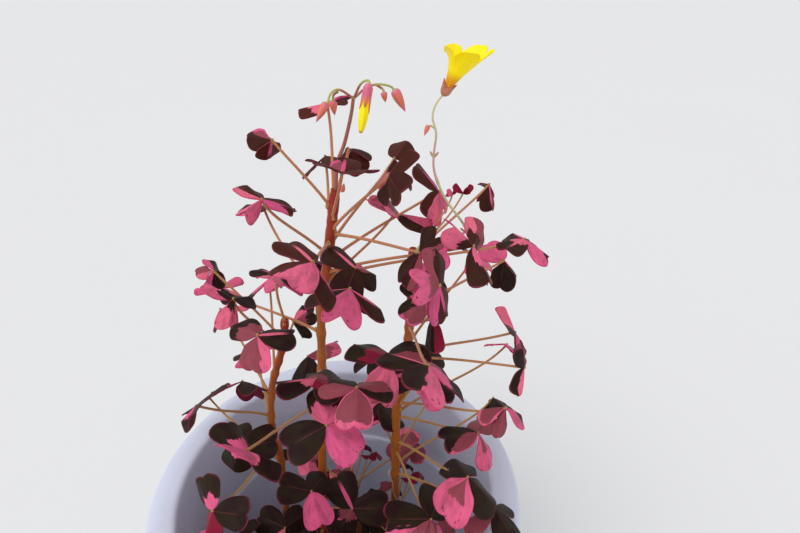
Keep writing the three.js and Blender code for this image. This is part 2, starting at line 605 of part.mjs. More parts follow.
// The stalks, buds, calyces and bracts that grow from a stem's tip
function flowering(name) {
  const stalk = (points, radius, steps) => rod(
    curveThrough(points), radius, radius, steps, STALK_SIDES);
  if (name === 'stem_middle') {
    return [
      stalk(MIDDLE_STALK, STALK_RADIUS, 5),
      ...BUD_STALKS.map((points) => stalk(points, PEDICEL_RADIUS, 4)),
      ...BUDS.map(bud),
      closedCalyx(),
    ];
  }
  if (name === 'stem_right') {
    return [
      stalk(FLOWER_STALK, STALK_RADIUS, 15),
      stalk(SMALL_BUD_STALK, PEDICEL_RADIUS, 3),
      bud(SMALL_BUD),
      ...BRACTS.map(bract),
      openCalyx(),
    ];
  }
  return [];
}

function leafyStem(name, { colour, radius, axis, leaves }) {
  const steps = STEM_STEPS * (axis.length - 2);
  const solids = [rod(curveThrough(axis), radius[0], radius[1], steps, STEM_SIDES)];
  leaves.forEach((row) => solids.push(...leafSolids(axis, row)));
  solids.push(...flowering(name));
  addPiece(name, joined(solids), colour, 0.5);
}

pot();
soil();
Object.entries(STEMS).forEach(([name, stem]) => leafyStem(name, stem));
addPiece('open_flower', openCorolla(), OPEN_COLOUR, 0.5);
addPiece('closed_flower', closedCorolla(), CLOSED_COLOUR, 0.5);

export default part;
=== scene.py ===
import math

import bpy
import numpy as np
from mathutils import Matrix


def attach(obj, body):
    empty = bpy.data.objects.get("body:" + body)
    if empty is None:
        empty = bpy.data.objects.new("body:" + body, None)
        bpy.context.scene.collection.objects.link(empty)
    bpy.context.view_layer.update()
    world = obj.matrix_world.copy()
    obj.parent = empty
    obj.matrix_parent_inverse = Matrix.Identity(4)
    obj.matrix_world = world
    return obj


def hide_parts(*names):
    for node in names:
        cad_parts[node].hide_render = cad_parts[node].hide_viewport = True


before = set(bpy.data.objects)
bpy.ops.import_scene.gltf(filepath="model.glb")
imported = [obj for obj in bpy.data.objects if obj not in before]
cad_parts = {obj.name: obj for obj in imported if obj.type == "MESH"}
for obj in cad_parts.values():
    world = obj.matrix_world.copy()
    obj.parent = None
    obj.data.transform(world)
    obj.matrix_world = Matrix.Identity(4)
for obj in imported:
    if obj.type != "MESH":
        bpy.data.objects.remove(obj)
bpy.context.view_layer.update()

bl_info = {
    "name": "Potted Oxalis vulcanicola",
    "version": (1, 0, 0),
    "blender": (4, 5, 0),
    "location": "View3D > Sidebar > Oxalis",
    "description": "Builds the looks of a potted Oxalis vulcanicola on its packed part",
    "category": "Object",
}

# Lengths are in millimetres here, and in metres once they reach a mesh.
MM = 0.001
FOOT = 28

# Pot: (radius, height) from the underside, up the outside, over the rim and down the inside.
POT_PROFILE = [
    (46, 0), (47.5, 1.5), (60.4, 106), (66.4, 109), (69, 112), (70, 126), (68.6, 129.2), (64.5, 130.5),
    (60.2, 130.2), (58.7, 129), (57.8, 122), (57, 113), (56.5, 89), (55.2, 88), (45.4, 5), (43.4, 3),
]
DRAIN_HOLES = 6
DRAIN_RADIUS = 4
DRAIN_RING = 28
FLOOR_TOP = 3
SOIL_PROFILE = [
    (0, 3.3), (42.9, 3.3), (44.9, 5.2), (48.9, 40.5), (46, 42.4), (36, 42), (24, 43.2), (12, 42.4), (0, 43),
]

# Each growth has its stem's radius at the foot and at the top, the points of its stem, and its leaves.
# A leaf's row holds the height of its joint on the stem, its hub, the way it leans and by how much, its spin,
# each leaflet's droop and fold, its length, and each leaflet's code: dark zone, warm zone, warm colour and
# stripe. The rows were fitted to the real leaves by a separate program, and some were then set by hand.
GROWTHS = {
    "stem_middle": {
        "radius": (2.0, 1.15),
        "axis": [(-9, 3, FOOT), (-9, 3, 50), (-8, 3, 89), (-5, 2, 147), (-2, 2, 184), (0, 1, 209),
                 (4, -1, 231), (7, 0, 250)],
        "leaves": [
            (244, -7.1, -4.2, 264.7, -54, 68, 122, (68, 49, 52), (23, 33, 13), 7.7, "lnr0 RBr0 anr2"),
            (247, 5.4, 8.2, 270.2, 178, 11, 15, (-6, -24, -3), (31, 16, 29), 7.7, "tnr0 jnr0 Tnr0"),
            (241, 10.3, -10.2, 258.5, 65, 15, 25, (-25, -23, -19), (18, 2, 6), 8.7, "XBr1 anr0 anr0"),
            (245, 10, 11.2, 257.1, -112, 38, 47, (62, 52, 43), (21, 25, 22), 8.9, "anr0 anr0 anr0"),
            (230, -9.6, -11.9, 252.2, 13, 25, 1, (-4, -2, 4), (2, 17, 53), 8.1, "Ynr1 Lnr0 nnr0"),
            (200, -35.3, 15.9, 207.8, 117, 21, 79, (-14, 12, -15), (21, 31, 31), 8.5, "nnr0 lnr0 nnr0"),
            (234, 5.5, -33.4, 247.3, 23, 22, -14, (39, -3, -2), (30, 10, 15), 10.7, "TRr1 anr1 inr0"),
            (238, 21.7, -13.9, 259.2, -153, 63, 79, (-8, 22, 11), (13, 26, 22), 8.5, "anr0 anr0 Ynr1"),
            (218, 22.6, 14.7, 235.7, 20, 25, 93, (-11, -25, -19), (24, 15, 44), 11.6, "nAr0 nbr0 inr0"),
            (228, 35.8, 15.8, 242.5, -12, 53, 55, (10, 1, 16), (19, 14, 7), 10.5, "nnr0 anr1 inr0"),
            (237, 29.4, -11.9, 237.3, -154, 63, 0, (-12, 2, 15), (8, 14, 32), 9.8, "Lar0 jBr0 anr0"),
            (224, 42.4, -15.2, 241.2, -37, 61, 101, (5, -15, -24), (29, 48, 34), 10.4, "bLr0 bnr0 xyr0"),
            (222, 59.8, 2, 233.6, 126, 1, -24, (11, -6, 29), (26, 8, 20), 9, "anr1 Tnr1 ynr0"),
            (216, 12.3, -10.9, 232, -32, 32, 54, (21, 6, 2), (26, 27, 6), 9.8, "XLr0 anr1 anr0"),
            (212, 12.1, -24.7, 234.6, 58, 28, 89, (19, 20, 17), (38, 31, 35), 11.8, "anr1 nnr0 anr2"),
            (168, -17.5, -34.5, 188.3, 52, 36, 84, (-19, -25, 7), (26, 7, 42), 11.8, "Tnr0 nnr0 Tnr0"),
            (178, 4.1, -30.7, 193.9, -60, 25, 35, (14, 5, 2), (18, 16, 12), 12.4, "nnr0 tnr0 anr0"),
            (184, 0, -18.1, 198.9, 72, 15, 7, (9, -5, -2), (18, 29, 18), 11.4, "Tar0 Tnr1 Tac0"),
            (128, -7.6, -12.1, 138.9, -33, 24, 95, (21, -12, 5), (23, 5, 11), 12.2, "anr0 anr0 nnr0"),
            (106, 6, -7.8, 122.3, -70, 38, 75, (-10, -13, 25), (4, 3, 15), 13.5, "anr0 anr1 Tbr0"),
            (190, -6.8, 29.9, 210.8, 90, 27, 76, (30, 41, 21), (25, 27, 29), 11.5, "anr0 ynr0 anr1"),
            (233, 22.3, 31.1, 247.2, 3, 17, 68, (-25, 69, 26), (30, 27, 28), 11, "anr0 bnr0 anr0"),
            (235, 1, 26.7, 249.5, 117, 24, 75, (27, 9, 6), (3, 23, 18), 9.6, "anr1 anr0 anr0"),
            (210, -19.9, 24.3, 233.6, 113, 23, 26, (-13, -4, 8), (34, 11, 16), 10.2, "Xnr0 anr0 tnr0"),
            (146, -14.1, 36, 160, 172, 19, 89, (13, -5, 34), (14, 27, 23), 13.7, "anr0 nBr0 Rnr1"),
        ],
    },
    "stem_right": {
        "radius": (2.0, 1.2),
        "axis": [(19, 9, FOOT), (19, 9, 50), (21, 9, 77), (22, 9, 97), (23, 7, 160), (25, 6, 171),
                 (27, 5, 196), (28, 3, 230)],
        "leaves": [
            (227, 50.3, 14.2, 245.3, -54, 31, -8, (30, 42, 82), (42, 23, 24), 7.6, "lac1 anr0 lac0"),
            (206, 58.5, 18.3, 216.9, -133, 23, 10, (47, 67, -6), (18, 29, 19), 10.3, "anr0 Tnr0 nnr0"),
            (204, 32.3, -37.7, 244.3, -35, 63, 6, (11, 8, -16), (16, 22, 23), 8.7, "Rnr1 Lar0 nbr0"),
            (204, 31.3, -15.5, 225.2, -67, 47, 66, (35, 33, 36), (20, 16, 29), 9.1, "nir0 tnr0 iAr0"),
            (168, 13, -30.5, 207.8, 58, 6, 92, (10, 22, 12), (18, 14, 20), 10.6, "lar0 nAr0 iar0"),
            (190, 20.9, -15.6, 204.9, 24, 15, 124, (8, 38, -13), (15, 35, 15), 12.8, "tac0 nnr0 Yar0"),
            (200, 31, -34.5, 218.9, 25, 36, 114, (19, 1, 8), (26, 11, 2), 12.6, "anr1 lnr0 tyr0"),
            (200, 34, -4, 210, -154, 71, 33, (-10, -25, 9), (17, 7, 29), 10.2, "Lac0 anr0 nbr0"),
            (160, 31.5, -1.6, 186.7, -91, 32, 36, (2, 31, 18), (28, 22, 23), 12.8, "rnr0 anr0 anr1"),
            (188, 60.8, 2, 200, -13, 57, 4, (-2, 4, -20), (24, 27, 22), 9.7, "nTr0 nnr0 anr0"),
            (186, 61.2, -12.1, 197.9, -32, 75, 68, (13, -10, -12), (27, 22, 46), 8.3, "nac0 anr0 inr0"),
            (163, 56.3, -16.7, 185.9, -22, 10, 44, (34, 41, 62), (24, 40, 50), 10.7, "Ynr0 nAr0 nar0"),
            (156, 49.8, -12.3, 169.5, 133, 9, 63, (-12, 63, 12), (5, 33, 31), 12.7, "XAr0 nMr0 nar0"),
            (142, 45.6, -23.7, 162.5, 20, 3, 82, (23, 45, 38), (27, 3, 30), 14.7, "anr0 nMr0 anr0"),
            (136, 34.2, -27.7, 146.5, -22, 22, 89, (9, 3, 28), (11, 11, 32), 14.9, "anr0 Lbr0 nbr0"),
            (122, 56.2, -21.3, 142.3, 93, 27, 90, (18, 26, 12), (24, 21, 34), 12.1, "nar0 anr0 anr0"),
            (134, 16.3, 17.6, 152.5, 77, 29, 5, (47, 27, 32), (22, 20, 7), 12.4, "anc0 jnr0 anr0"),
            (195, 34.7, 26.8, 211.3, 62, 30, 18, (27, 22, 35), (24, 25, 23), 11.5, "anr0 lnr0 Tnr0"),
            (192, 51.4, 33.9, 209.4, 32, 36, 16, (-4, -9, 18), (23, 5, 25), 12, "nnr0 anr0 nnr0"),
            (144, 13.8, 36.7, 160.9, 96, 22, 68, (25, 21, 25), (29, 25, 23), 11.2, "anr0 anr0 anr1"),
            (134, 41, 34.2, 149.8, 60, 24, 109, (30, 31, 22), (27, 16, 21), 11, "lnr0 nBr0 anr0"),
            (128, 61.4, 20.8, 151.5, 86, 19, 82, (51, -5, 27), (23, 26, 27), 11, "anr0 anr0 tnr0"),
            (158, 64.9, 24.5, 176, 51, 23, 74, (21, -21, 21), (2, 23, 20), 9.4, "nnr0 nnr0 Lnr0"),
        ],
    },
    "stem_left": {
        "radius": (1.7, 1.1),
        "axis": [(-27, 8, FOOT), (-27, 8, 50), (-26, 8, 80), (-23, 7, 132), (-24, 6, 148),
                 (-21, 5, 172), (-14, 3, 194), (-12, 2, 205)],
        "leaves": [
            (196, -32.2, 4.7, 221.5, -43, 59, 3, (29, 48, 60), (11, 24, 43), 7.7, "Rnr0 Lnr0 nLr0"),
            (192, -24.2, -5.2, 217.9, 38, 34, 25, (-7, -13, 44), (26, 20, 33), 8.9, "anr0 bnr0 bnr0"),
            (203, -10.3, -5.8, 226.3, 30, 23, -9, (12, 8, -22), (10, 16, 23), 8.5, "Anr0 anr1 nnr0"),
            (186, -11.5, 10.7, 197.5, -134, 68, 18, (30, 22, 39), (25, 20, 22), 7.9, "anr0 tLr0 tnr0"),
            (198, -11.9, -25.4, 220.9, -98, 10, -4, (42, 10, 5), (12, 30, 20), 9.4, "nLr0 anr1 tar0"),
            (170, -28.3, -1.1, 181.6, 99, 43, 102, (10, 8, 29), (3, 28, 10), 10.2, "lac0 anr0 anr0"),
            (158, -36.6, -17.7, 187.8, -172, 51, 116, (-19, 25, -7), (18, 5, 35), 9.5, "anr1 anr0 ynr2"),
            (140, -33.3, -31.5, 157, -129, 53, 107, (26, -17, 14), (2, 16, 34), 11.1, "anr0 Tnr0 nac0"),
            (138, -32.5, -5.4, 154.3, -83, 47, 93, (9, 50, 36), (15, 24, 24), 13.5, "anr0 anr0 Tnr0"),
            (180, -24.7, 34.2, 199.3, 112, 23, 74, (28, 2, 18), (10, 27, 16), 11.4, "tnr0 nnr0 rnr0"),
            (152, -31.2, 26.6, 171, 86, 28, 53, (8, 17, -24), (27, 4, 2), 11.4, "anr0 nBr0 nnr0"),
            (130, -53.5, 24.4, 147.7, 140, 43, 68, (-7, -13, -12), (6, 9, 10), 11.6, "anr0 Lnr0 anr1"),
            (168, -43.5, 30.3, 188.4, 166, 36, 116, (9, 28, 21), (28, 22, 30), 10.3, "lnr0 nnr0 tnr0"),
        ],
    },
    "shoot_back": {
        "radius": (1.3, 0.9),
        "axis": [(4, 24, FOOT), (4, 24, 50), (3, 21, 85), (1, 17, 110)],
        "leaves": [
            (98, 29, 23.7, 119.6, -76, 33, 46, (33, 35, 26), (40, 22, 11), 11.8, "nAr0 nBr0 nar0"),
            (106, 4.9, 18.1, 141.1, 21, 20, 112, (44, 38, 53), (24, 22, 22), 11.7, "nar0 nar0 anr0"),
            (96, -20.8, 33.6, 105.4, 113, 12, 62, (3, 26, 8), (21, 23, 22), 11.3, "anr0 nnr0 nbr0"),
            (100, 4, 38.2, 118.4, 98, 38, 18, (12, 14, -7), (25, 24, 17), 10.6, "anr0 anr1 rnr0"),
        ],
    },
    "shoot_front_left": {
        "radius": (1.3, 0.9),
        "axis": [(-22, -20, FOOT), (-22, -20, 50), (-22, -22, 85), (-21, -25, 112)],
        "leaves": [
            (84, -23.1, -2.6, 101.6, -47, 34, 88, (19, 21, 18), (21, 16, 24), 13.1, "anr0 anr0 Rnr1"),
            (104, -42, -36.1, 141.9, -153, 22, 21, (15, 15, 26), (24, 24, 25), 11, "lnr0 anr0 nnr0"),
            (108, -15, -46, 146, -75, 30, 60, (15, 15, 15), (24, 24, 24), 11, "anr0 tnr0 nnr0"),
            (92, -25.9, -37.1, 112.3, -120, 25, 90, (15, 15, 15), (24, 24, 24), 10, "anr1 rnr0 anr0"),
            (88, -38, -12, 110, 169, 24, 31, (15, 16, 5), (23, 24, 23), 9.5, "nnr0 anr0 anr0"),
        ],
    },
    "shoot_front_right": {
        "radius": (1.3, 0.9),
        "axis": [(22, -24, FOOT), (22, -24, 50), (22, -27, 85), (20, -30, 108)],
        "leaves": [
            (104, 30.1, -52.1, 140.1, -60, 25, 40, (10, 10, 10), (24, 24, 24), 11, "anr0 lnr0 nnr0"),
            (106, 8, -48, 142, -105, 30, 15, (20, 20, 20), (24, 24, 24), 11, "nnr0 Tnr0 anr0"),
            (90, 29.9, -35.8, 109.8, -30, 25, 70, (15, 15, 15), (24, 24, 24), 10, "lnr0 anr0 rnr0"),
            (86, 36.2, -12, 111.9, 30, 16, 1, (-10, 11, 16), (25, 25, 22), 10.4, "nar0 Lnr0 anr0"),
        ],
    },
}

# A zone is where a x + b y + c is above 0, with x across and y along the leaflet, and is further from the
# edge than its margin. Each letter stands for (a, b, c, margin).
ZONES = {
    "n": (0, 0, -2, -1), "a": (0, 0, 2, -1), "l": (-1, 0, 0, -1), "r": (1, 0, 0, -1),
    "L": (-1, 0, 0.35, -1), "R": (1, 0, 0.35, -1), "i": (-1, 0, -0.35, -1), "j": (1, 0, -0.35, -1),
    "t": (0, 1, -0.62, -1), "T": (0, 1, -0.4, -1), "b": (0, -1, 0.45, -1),
    "x": (-0.7, 0.7, -0.55, -1), "y": (0.7, 0.7, -0.55, -1),
    "X": (-1, 1.2, -0.6, -1), "Y": (1, 1.2, -0.6, -1),
    "B": (0, -1, 0.72, 0.1), "A": (0, 0, 2, 0.12), "M": (0, 0, 2, 0.45),
}

# Flowering stalk of the middle growth, with its buds as (top, tip, radius).
MIDDLE_STALK = [(7, 0, 249), (8, 0, 257), (10, 1, 262), (12, 1, 269), (13, 0, 274)]
BUD_STALKS = [
    [(13, 0, 273.5), (10, -2, 276), (8, -3, 275.5), (7, -4, 273)],
    [(9.5, -2, 275.6), (8.3, -1.4, 274.6), (8, -1, 272.5)],
    [(13, 0, 273.5), (15, -3, 277.5), (17, -6, 279), (17.2, -7, 278)],
    [(13, 0, 273.5), (16, 2, 275.6), (19, 3, 276.2), (22, 4, 275.4), (23, 4, 274)],
    [(18.5, 2.9, 276), (20, 3, 275), (20.3, 3, 273.8)],
]
BUDS = [
    ((7, -4, 273.6), (4.2, -5.2, 269.2), 1.0),
    ((8, -1, 273.2), (8.3, -1.4, 269.8), 0.95),
    ((22.8, 4, 274.8), (25.6, 4.2, 269.2), 1.25),
    ((20.2, 3, 274.4), (20.6, 3.2, 271.8), 0.8),
]
# Pale stalk of the open flower, with its side bud and its bracts as (root, tip).
FLOWER_STALK = [
    (28, 3, 228), (31, 1, 233), (36, -2, 236), (41, -3, 238), (41.5, -4, 241), (36, -4, 249), (33, -4, 256),
    (32.6, -4, 261), (33, -4, 266), (32, -4, 270), (32.6, -4, 273), (34.4, -4, 275.6),
]
SMALL_BUD_STALK = [(32.6, -4, 267.4), (31.4, -5, 268.4), (30.8, -5.4, 268)]
SMALL_BUD = ((31, -5.3, 268.6), (30, -5.9, 266.2), 0.6)
BRACTS = [
    ((41.5, -4, 239.4), (43.6, -4.4, 240.2)),
    ((41.5, -4, 239.4), (40.2, -4.8, 240.9)),
    ((32.6, -4, 260), (33.8, -4.6, 261.9)),
    ((32.6, -4, 260), (31.6, -3.6, 261.7)),
]
OPEN_BASE = (34.4, -4, 275.4)
OPEN_DIRECTION = (0.45, -0.02, 0.88)
OPEN_LENGTH = 11.6
CUP_PROFILE = [(-0.4, 0), (-0.25, 0.6), (0.4, 1.2), (1.9, 1.38), (1.9, 1.16), (1.3, 1.16), (1.3, 0)]
FUNNEL_START = 1.6
# Small things: two young leaves at the top of the right growth, the scar of a fallen leaf, a side bud and an
# aerial root.
YOUNG_TOP = [
    (226, 42.7, 13, 243, 20, 10, 20, (-55, -50, -58), (50, 55, 50), 3.6, "nac0 nac0 nac0"),
    (227, 39.6, 13, 242.6, 160, 20, 70, (-40, -60, -50), (45, 55, 50), 2.4, "nnr0 nac0 nnr0"),
]
SCAR = [(3.4, -0.9, 231.6), (4.2, -1.8, 232.9), (5.6, -2.0, 233.8)]
SIDE_BUD = ((8.9, -1, 249.6), (9.6, -1.2, 252.2), 0.62)
AERIAL_ROOT = [
    (20.2, 6.9, 126), (19.6, 6, 124), (21.2, 6, 119), (21.4, 6.1, 113), (22.9, 6, 108), (24.4, 6.2, 105),
]
# How many young leaves grow low on each growth.
YOUNG_LOW = {
    "shoot_back": 12, "stem_middle": 7, "stem_right": 5, "shoot_front_left": 4, "shoot_front_right": 4,
}
CLOSED_TOP = (17.2, -7, 278.6)
CLOSED_DIRECTION = (-0.2, -0.15, -0.97)
CLOSED_LENGTH = 11.2
# Radii of the small bud above each petiole, and the height below which stems are amber.
SMALL_BUD_RADII = [0.25, 0.5, 0.55, 0.45, 0.3, 0.1]
AMBER_TOP = 205
# Veins across half a leaflet.
VEINS = 4.0
# The stage, in metres and degrees.
FLOOR_REACH = 4.0
FLOOR_LEVEL = -0.00005
LAMP_WIDTH = 50
LAMP_TILT = (24, -26)
SKY_COLOUR = (0.985, 0.993, 1, 1)
CAMERA_PLACE = (0.0242, -0.1285, 0.3047)
CAMERA_TILT = 58.46


def linear(red, green, blue):
    """The linear colour of a display colour from 0 to 255.

    With v from 0 to 1 it is ((v + 0.055) / 1.055) ** 2.4, or v / 12.92 where v is dark."""
    values = np.array([red, green, blue]) / 255
    bright = ((values + 0.055) / 1.055) ** 2.4
    return tuple(float(v) for v in np.where(values > 0.04045, bright, values / 12.92))


def colour(name, description, display):
    """A colour property whose default is a display colour."""
    return bpy.props.FloatVectorProperty(
        name=name, description=description, subtype="COLOR", size=3, min=0, max=1, default=linear(*display)
    )


def length(name, description, millimetres):
    """A length property whose default is given in millimetres."""
    return bpy.props.FloatProperty(
        name=name, description=description, default=millimetres * MM, min=0, unit="LENGTH", precision=5
    )


class OXALIS_PG_pot(bpy.types.PropertyGroup):
    """Sizes and colours of the pot and the soil."""

    plastic: colour("Plastic", "Colour of the pot", (216, 220, 240))
    scuff: colour("Scuff", "Colour of dust and faint wear on the pot", (196, 197, 208))
    soil: colour("Soil", "Main colour of the soil", (74, 52, 38))
    soil_dark: colour("Damp soil", "Colour of the soil's damp parts", (38, 27, 21))
    fillet: length("Corner", "How far the pot's moulded corners are rounded", 1.6)
    crumb: length("Crumb", "Mean size of a crumb of soil", 0.9)


class OXALIS_PG_stem(bpy.types.PropertyGroup):
    """Sizes and colours of the stems and the petioles."""

    red: colour("Red", "Skin of the stems near their tops", (158, 44, 26))
    amber: colour("Amber", "Skin of the stems lower down", (176, 98, 32))
    petiole: colour("Petiole", "Skin of the lower petioles", (182, 136, 78))
    petiole_top: colour("Upper petiole", "Skin of the upper petioles", (202, 134, 94))
    joint: colour("Joint", "Small swelling where three leaflets meet", (176, 138, 74))
    petiole_radius: length("Petiole radius", "Radius of a petiole between its swellings", 0.42)
    swelling: length("Swelling", "How far a stem swells at a joint", 0.35)
    hair: length("Hair", "Mean length of a hair on stems and petioles", 0.55)


class OXALIS_PG_leaf(bpy.types.PropertyGroup):
    """Sizes and colours of the leaflets."""

    thickness: length("Thickness", "Thickness of a leaflet", 0.32)
    olive: colour("Olive", "Dark areas, greener kind", (44, 32, 18))
    purple: colour("Purple", "Dark areas, redder kind", (40, 18, 20))
    # Painted backlight: a russet colour that stands in for strong light coming through the dark areas of the
    # highest leaves.
    painted_backlight: colour("Russet", "Dark areas of the leaves in the strongest light", (84, 28, 16))
    coral: colour("Coral", "Pink areas, warmer kind", (242, 114, 142))
    magenta: colour("Magenta", "Pink areas, colder kind", (224, 86, 140))
    rose: colour("Rose", "Dull rose areas", (148, 70, 82))
    crimson: colour("Crimson", "Deep crimson areas", (140, 22, 54))
    hem: colour("Hem", "Thin edge of a leaflet", (170, 66, 84))
    under_dark: colour("Under dark", "Underside of the dark areas", (104, 18, 42))
    under_pink: colour("Under pink", "Underside of the pink areas", (208, 52, 118))


class OXALIS_PG_flower(bpy.types.PropertyGroup):
    """Sizes and colours of the flowers and the buds."""

    yellow: colour("Yellow", "Petals of the open flower", (252, 228, 6))
    shade: colour("Shade", "Deeper yellow low on the petals", (224, 158, 6))
    streak: colour("Streak", "Streaks at the foot of the petals", (196, 92, 16))
    sepal: colour("Sepal", "Sepals of the open flower", (196, 124, 100))
    bud: colour("Bud", "Middle of a bud", (232, 128, 88))
    bud_edge: colour("Bud edge", "Edges and tip of a bud", (224, 112, 140))
    stalk: colour("Stalk", "Skin of the pale flower stalk", (212, 206, 158))
    stalk_pink: colour("Pink stalk", "Skin of the middle flowering stalk", (176, 108, 92))
    green: colour("Green", "Bends and bracts", (186, 184, 104))
    pale: colour("Pale", "Pink part of the pale stalk, and its bracts", (220, 172, 166))
    petal: length("Petal", "Thickness of a petal", 0.3)


class OXALIS_PG_stage(bpy.types.PropertyGroup):
    """The floor, the light and the camera."""

    floor: colour("Floor", "Plain pale floor", (235, 235, 236))
    sky: bpy.props.FloatProperty(name="Sky", description="Strength of the even light", default=0.62, min=0)
    lamp: bpy.props.FloatProperty(name="Lamp", description="Strength of the soft lamp", default=1.36, min=0)
    focal: length("Focal length", "Focal length of the camera on a sensor 36 mm wide", 23.4)


def unit(vectors):
    """v / |v| along the last axis."""
    vectors = np.asarray(vectors, float)
    return vectors / np.linalg.norm(vectors, axis=-1, keepdims=True)


def grid_faces(rows, columns, closed=False):
    """Quads between neighbours on a grid of rows by columns; closed joins the last column to the first."""
    across = columns if closed else columns - 1
    row, column = np.meshgrid(np.arange(rows - 1), np.arange(across), indexing="ij")
    first = row * columns + column
    second = row * columns + (column + 1) % columns
    return np.stack([first, second, second + columns, first + columns], -1).reshape(-1, 4)


def grid_rim(rows, columns):
    """The points round the edge of a grid, in the order first row, last column, last row, first column."""
    numbers = np.arange(rows * columns).reshape(rows, columns)
    return np.concatenate([numbers[0, :-1], numbers[:-1, -1], numbers[-1, :0:-1], numbers[:0:-1, 0]])


def sheet_faces(rows, columns):
    """Faces of a thin closed sheet: a lower grid, an upper grid numbered after it, and a strip round them."""
    lower = grid_faces(rows, columns)
    upper = lower[:, ::-1] + rows * columns
    rim = grid_rim(rows, columns)
    after = np.roll(rim, -1)
    strip = np.stack([after, rim, rim + rows * columns, after + rows * columns], -1)
    return np.concatenate([lower, upper, strip])


def weld(points, faces):
    """Joins points that share a place. A quad with two corners in one place becomes a triangle."""
    _, first, index = np.unique(np.round(points, 5), axis=0, return_index=True, return_inverse=True)
    faces = index.reshape(-1)[faces]
    same = faces == np.roll(faces, -1, axis=1)
    count = same.sum(1)
    triangles = faces[count == 1][~same[count == 1]].reshape(-1, 3)
    return first, faces[count == 0], triangles


# How mesh attributes of one, three and four values are kept.
ATTRIBUTE_KINDS = {1: ("FLOAT", "value"), 3: ("FLOAT_VECTOR", "vector"), 4: ("FLOAT_COLOR", "color")}


class Shape:
    """Gathers points, faces and values for each point, and makes one mesh of them."""

    def __init__(self):
        self.points = []
        self.quads = []
        self.triangles = []
        self.values = {}
        self.count = 0

    def add(self, points, faces, **values):
        """Adds one closed part: points (n, 3) in mm, quads (m, 4), and arrays of one row for each point."""
        first, quads, triangles = weld(points, faces)
        self.points.append(points[first])
        self.quads.append(quads + self.count)
        self.triangles.append(triangles + self.count)
        for key, rows in values.items():
            rows = np.broadcast_to(rows, (len(points), np.shape(rows)[-1]))
            self.values.setdefault(key, []).append(rows[first])
        self.count += len(first)

    def make(self, name, nodes, material, sharp=40):
        """Makes the mesh, its values as attributes, and the piece that stands for those CAD nodes."""
        mesh = bpy.data.meshes.new(name)
        faces = np.concatenate(self.quads).tolist() + np.concatenate(self.triangles).tolist()
        mesh.from_pydata((np.concatenate(self.points) * MM).tolist(), [], faces)
        mesh.polygons.foreach_set("use_smooth", np.ones(len(faces), bool))
        mesh.set_sharp_from_angle(angle=math.radians(sharp))
        for key, rows in self.values.items():
            rows = np.concatenate(rows)
            kind, field = ATTRIBUTE_KINDS[rows.shape[1]]
            mesh.attributes.new(key, kind, "POINT").data.foreach_set(field, rows.ravel())
        mesh.materials.append(material)
        mesh.update()
        piece = bpy.data.objects.new(name, mesh)
        bpy.context.scene.collection.objects.link(piece)
        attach(piece, "root")
        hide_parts(*nodes)


def curve(points, spacing):
    """A Catmull-Rom curve through the points, then sampled evenly by length.

    Between points b and c, with neighbours a and d, it is h0 b + h1 c + g0 (c - a) / 2 + g1 (d - b) / 2,
    where h0 = 2 t^3 - 3 t^2 + 1, h1 = 1 - h0, g0 = t^3 - 2 t^2 + t and g1 = t^3 - t^2."""
    points = np.asarray(points, float)
    points = np.vstack([2 * points[0] - points[1], points, 2 * points[-1] - points[-2]])
    t = np.linspace(0, 1, 24, endpoint=False)[:, None]
    h0 = 2 * t**3 - 3 * t**2 + 1
    a, b, c, d = points[:-3, None], points[1:-2, None], points[2:-1, None], points[3:, None]
    dense = h0 * b + (1 - h0) * c + (t**3 - 2 * t**2 + t) * (c - a) / 2 + (t**3 - t**2) * (d - b) / 2
    dense = np.vstack([dense.reshape(-1, 3), points[-2]])
    along = np.concatenate([[0], np.cumsum(np.linalg.norm(np.diff(dense, axis=0), axis=1))])
    even = np.linspace(0, along[-1], max(4, int(along[-1] / spacing) + 1))
    return np.stack([np.interp(even, along, dense[:, k]) for k in range(3)], -1)


def tube(path, radii, sides, ribs=0, depth=0.0, twist=0.0):
    """A closed tube: p(t, a) = path(t) + r(t) (1 + depth cos(ribs a + twist t)) (cos a side + sin a up).

    side is square to the path and to the axis that the path leans to least. Returns the points, the quads,
    and for each point (cos a, sin a, length so far) and its share of the path."""
    path = np.asarray(path, float)
    radii = np.broadcast_to(radii, len(path)).astype(float)
    tangent = unit(np.gradient(path, axis=0))
    axis = np.eye(3)[np.argmin(np.abs(tangent).mean(0))]
    side = unit(np.cross(axis, tangent))
    up = np.cross(tangent, side)
    along = np.concatenate([[0], np.cumsum(np.linalg.norm(np.diff(path, axis=0), axis=1))])
    ends = [0, *range(len(path)), len(path) - 1]
    path, side, up, along, radii = path[ends], side[ends], up[ends], along[ends], radii[ends]
    radii[0] = radii[-1] = 0
    angle = np.linspace(0, 2 * np.pi, sides, endpoint=False)
    share = along / along[-1]
    reach = radii[:, None] * (1 + depth * np.cos(ribs * angle + twist * share[:, None]))
    ring = np.cos(angle)[:, None] * side[:, None] + np.sin(angle)[:, None] * up[:, None]
    points = path[:, None] + reach[..., None] * ring
    place = np.stack(np.broadcast_arrays(np.cos(angle), np.sin(angle), along[:, None]), -1)
    share = np.broadcast_to(share[:, None], reach.shape)
    return points.reshape(-1, 3), grid_faces(len(path), sides, True), place.reshape(-1, 3), share.ravel()


def blend(stops, share):
    """Colours (n, 4) at each share from 0 to 1, straight between stops given as (share, colour)."""
    places = [stop[0] for stop in stops]
    colours = np.array([list(stop[1])[:3] + [1] for stop in stops])
    return np.stack([np.interp(share, places, colours[:, k]) for k in range(4)], -1)


def add_tube(shape, path, radii, sides, stops, **ribbing):
    """Adds a tube to a shape, painted along its length."""
    points, faces, place, share = tube(path, radii, sides, **ribbing)
    shape.add(points, faces, paint=blend(stops, share), stem_map=place)


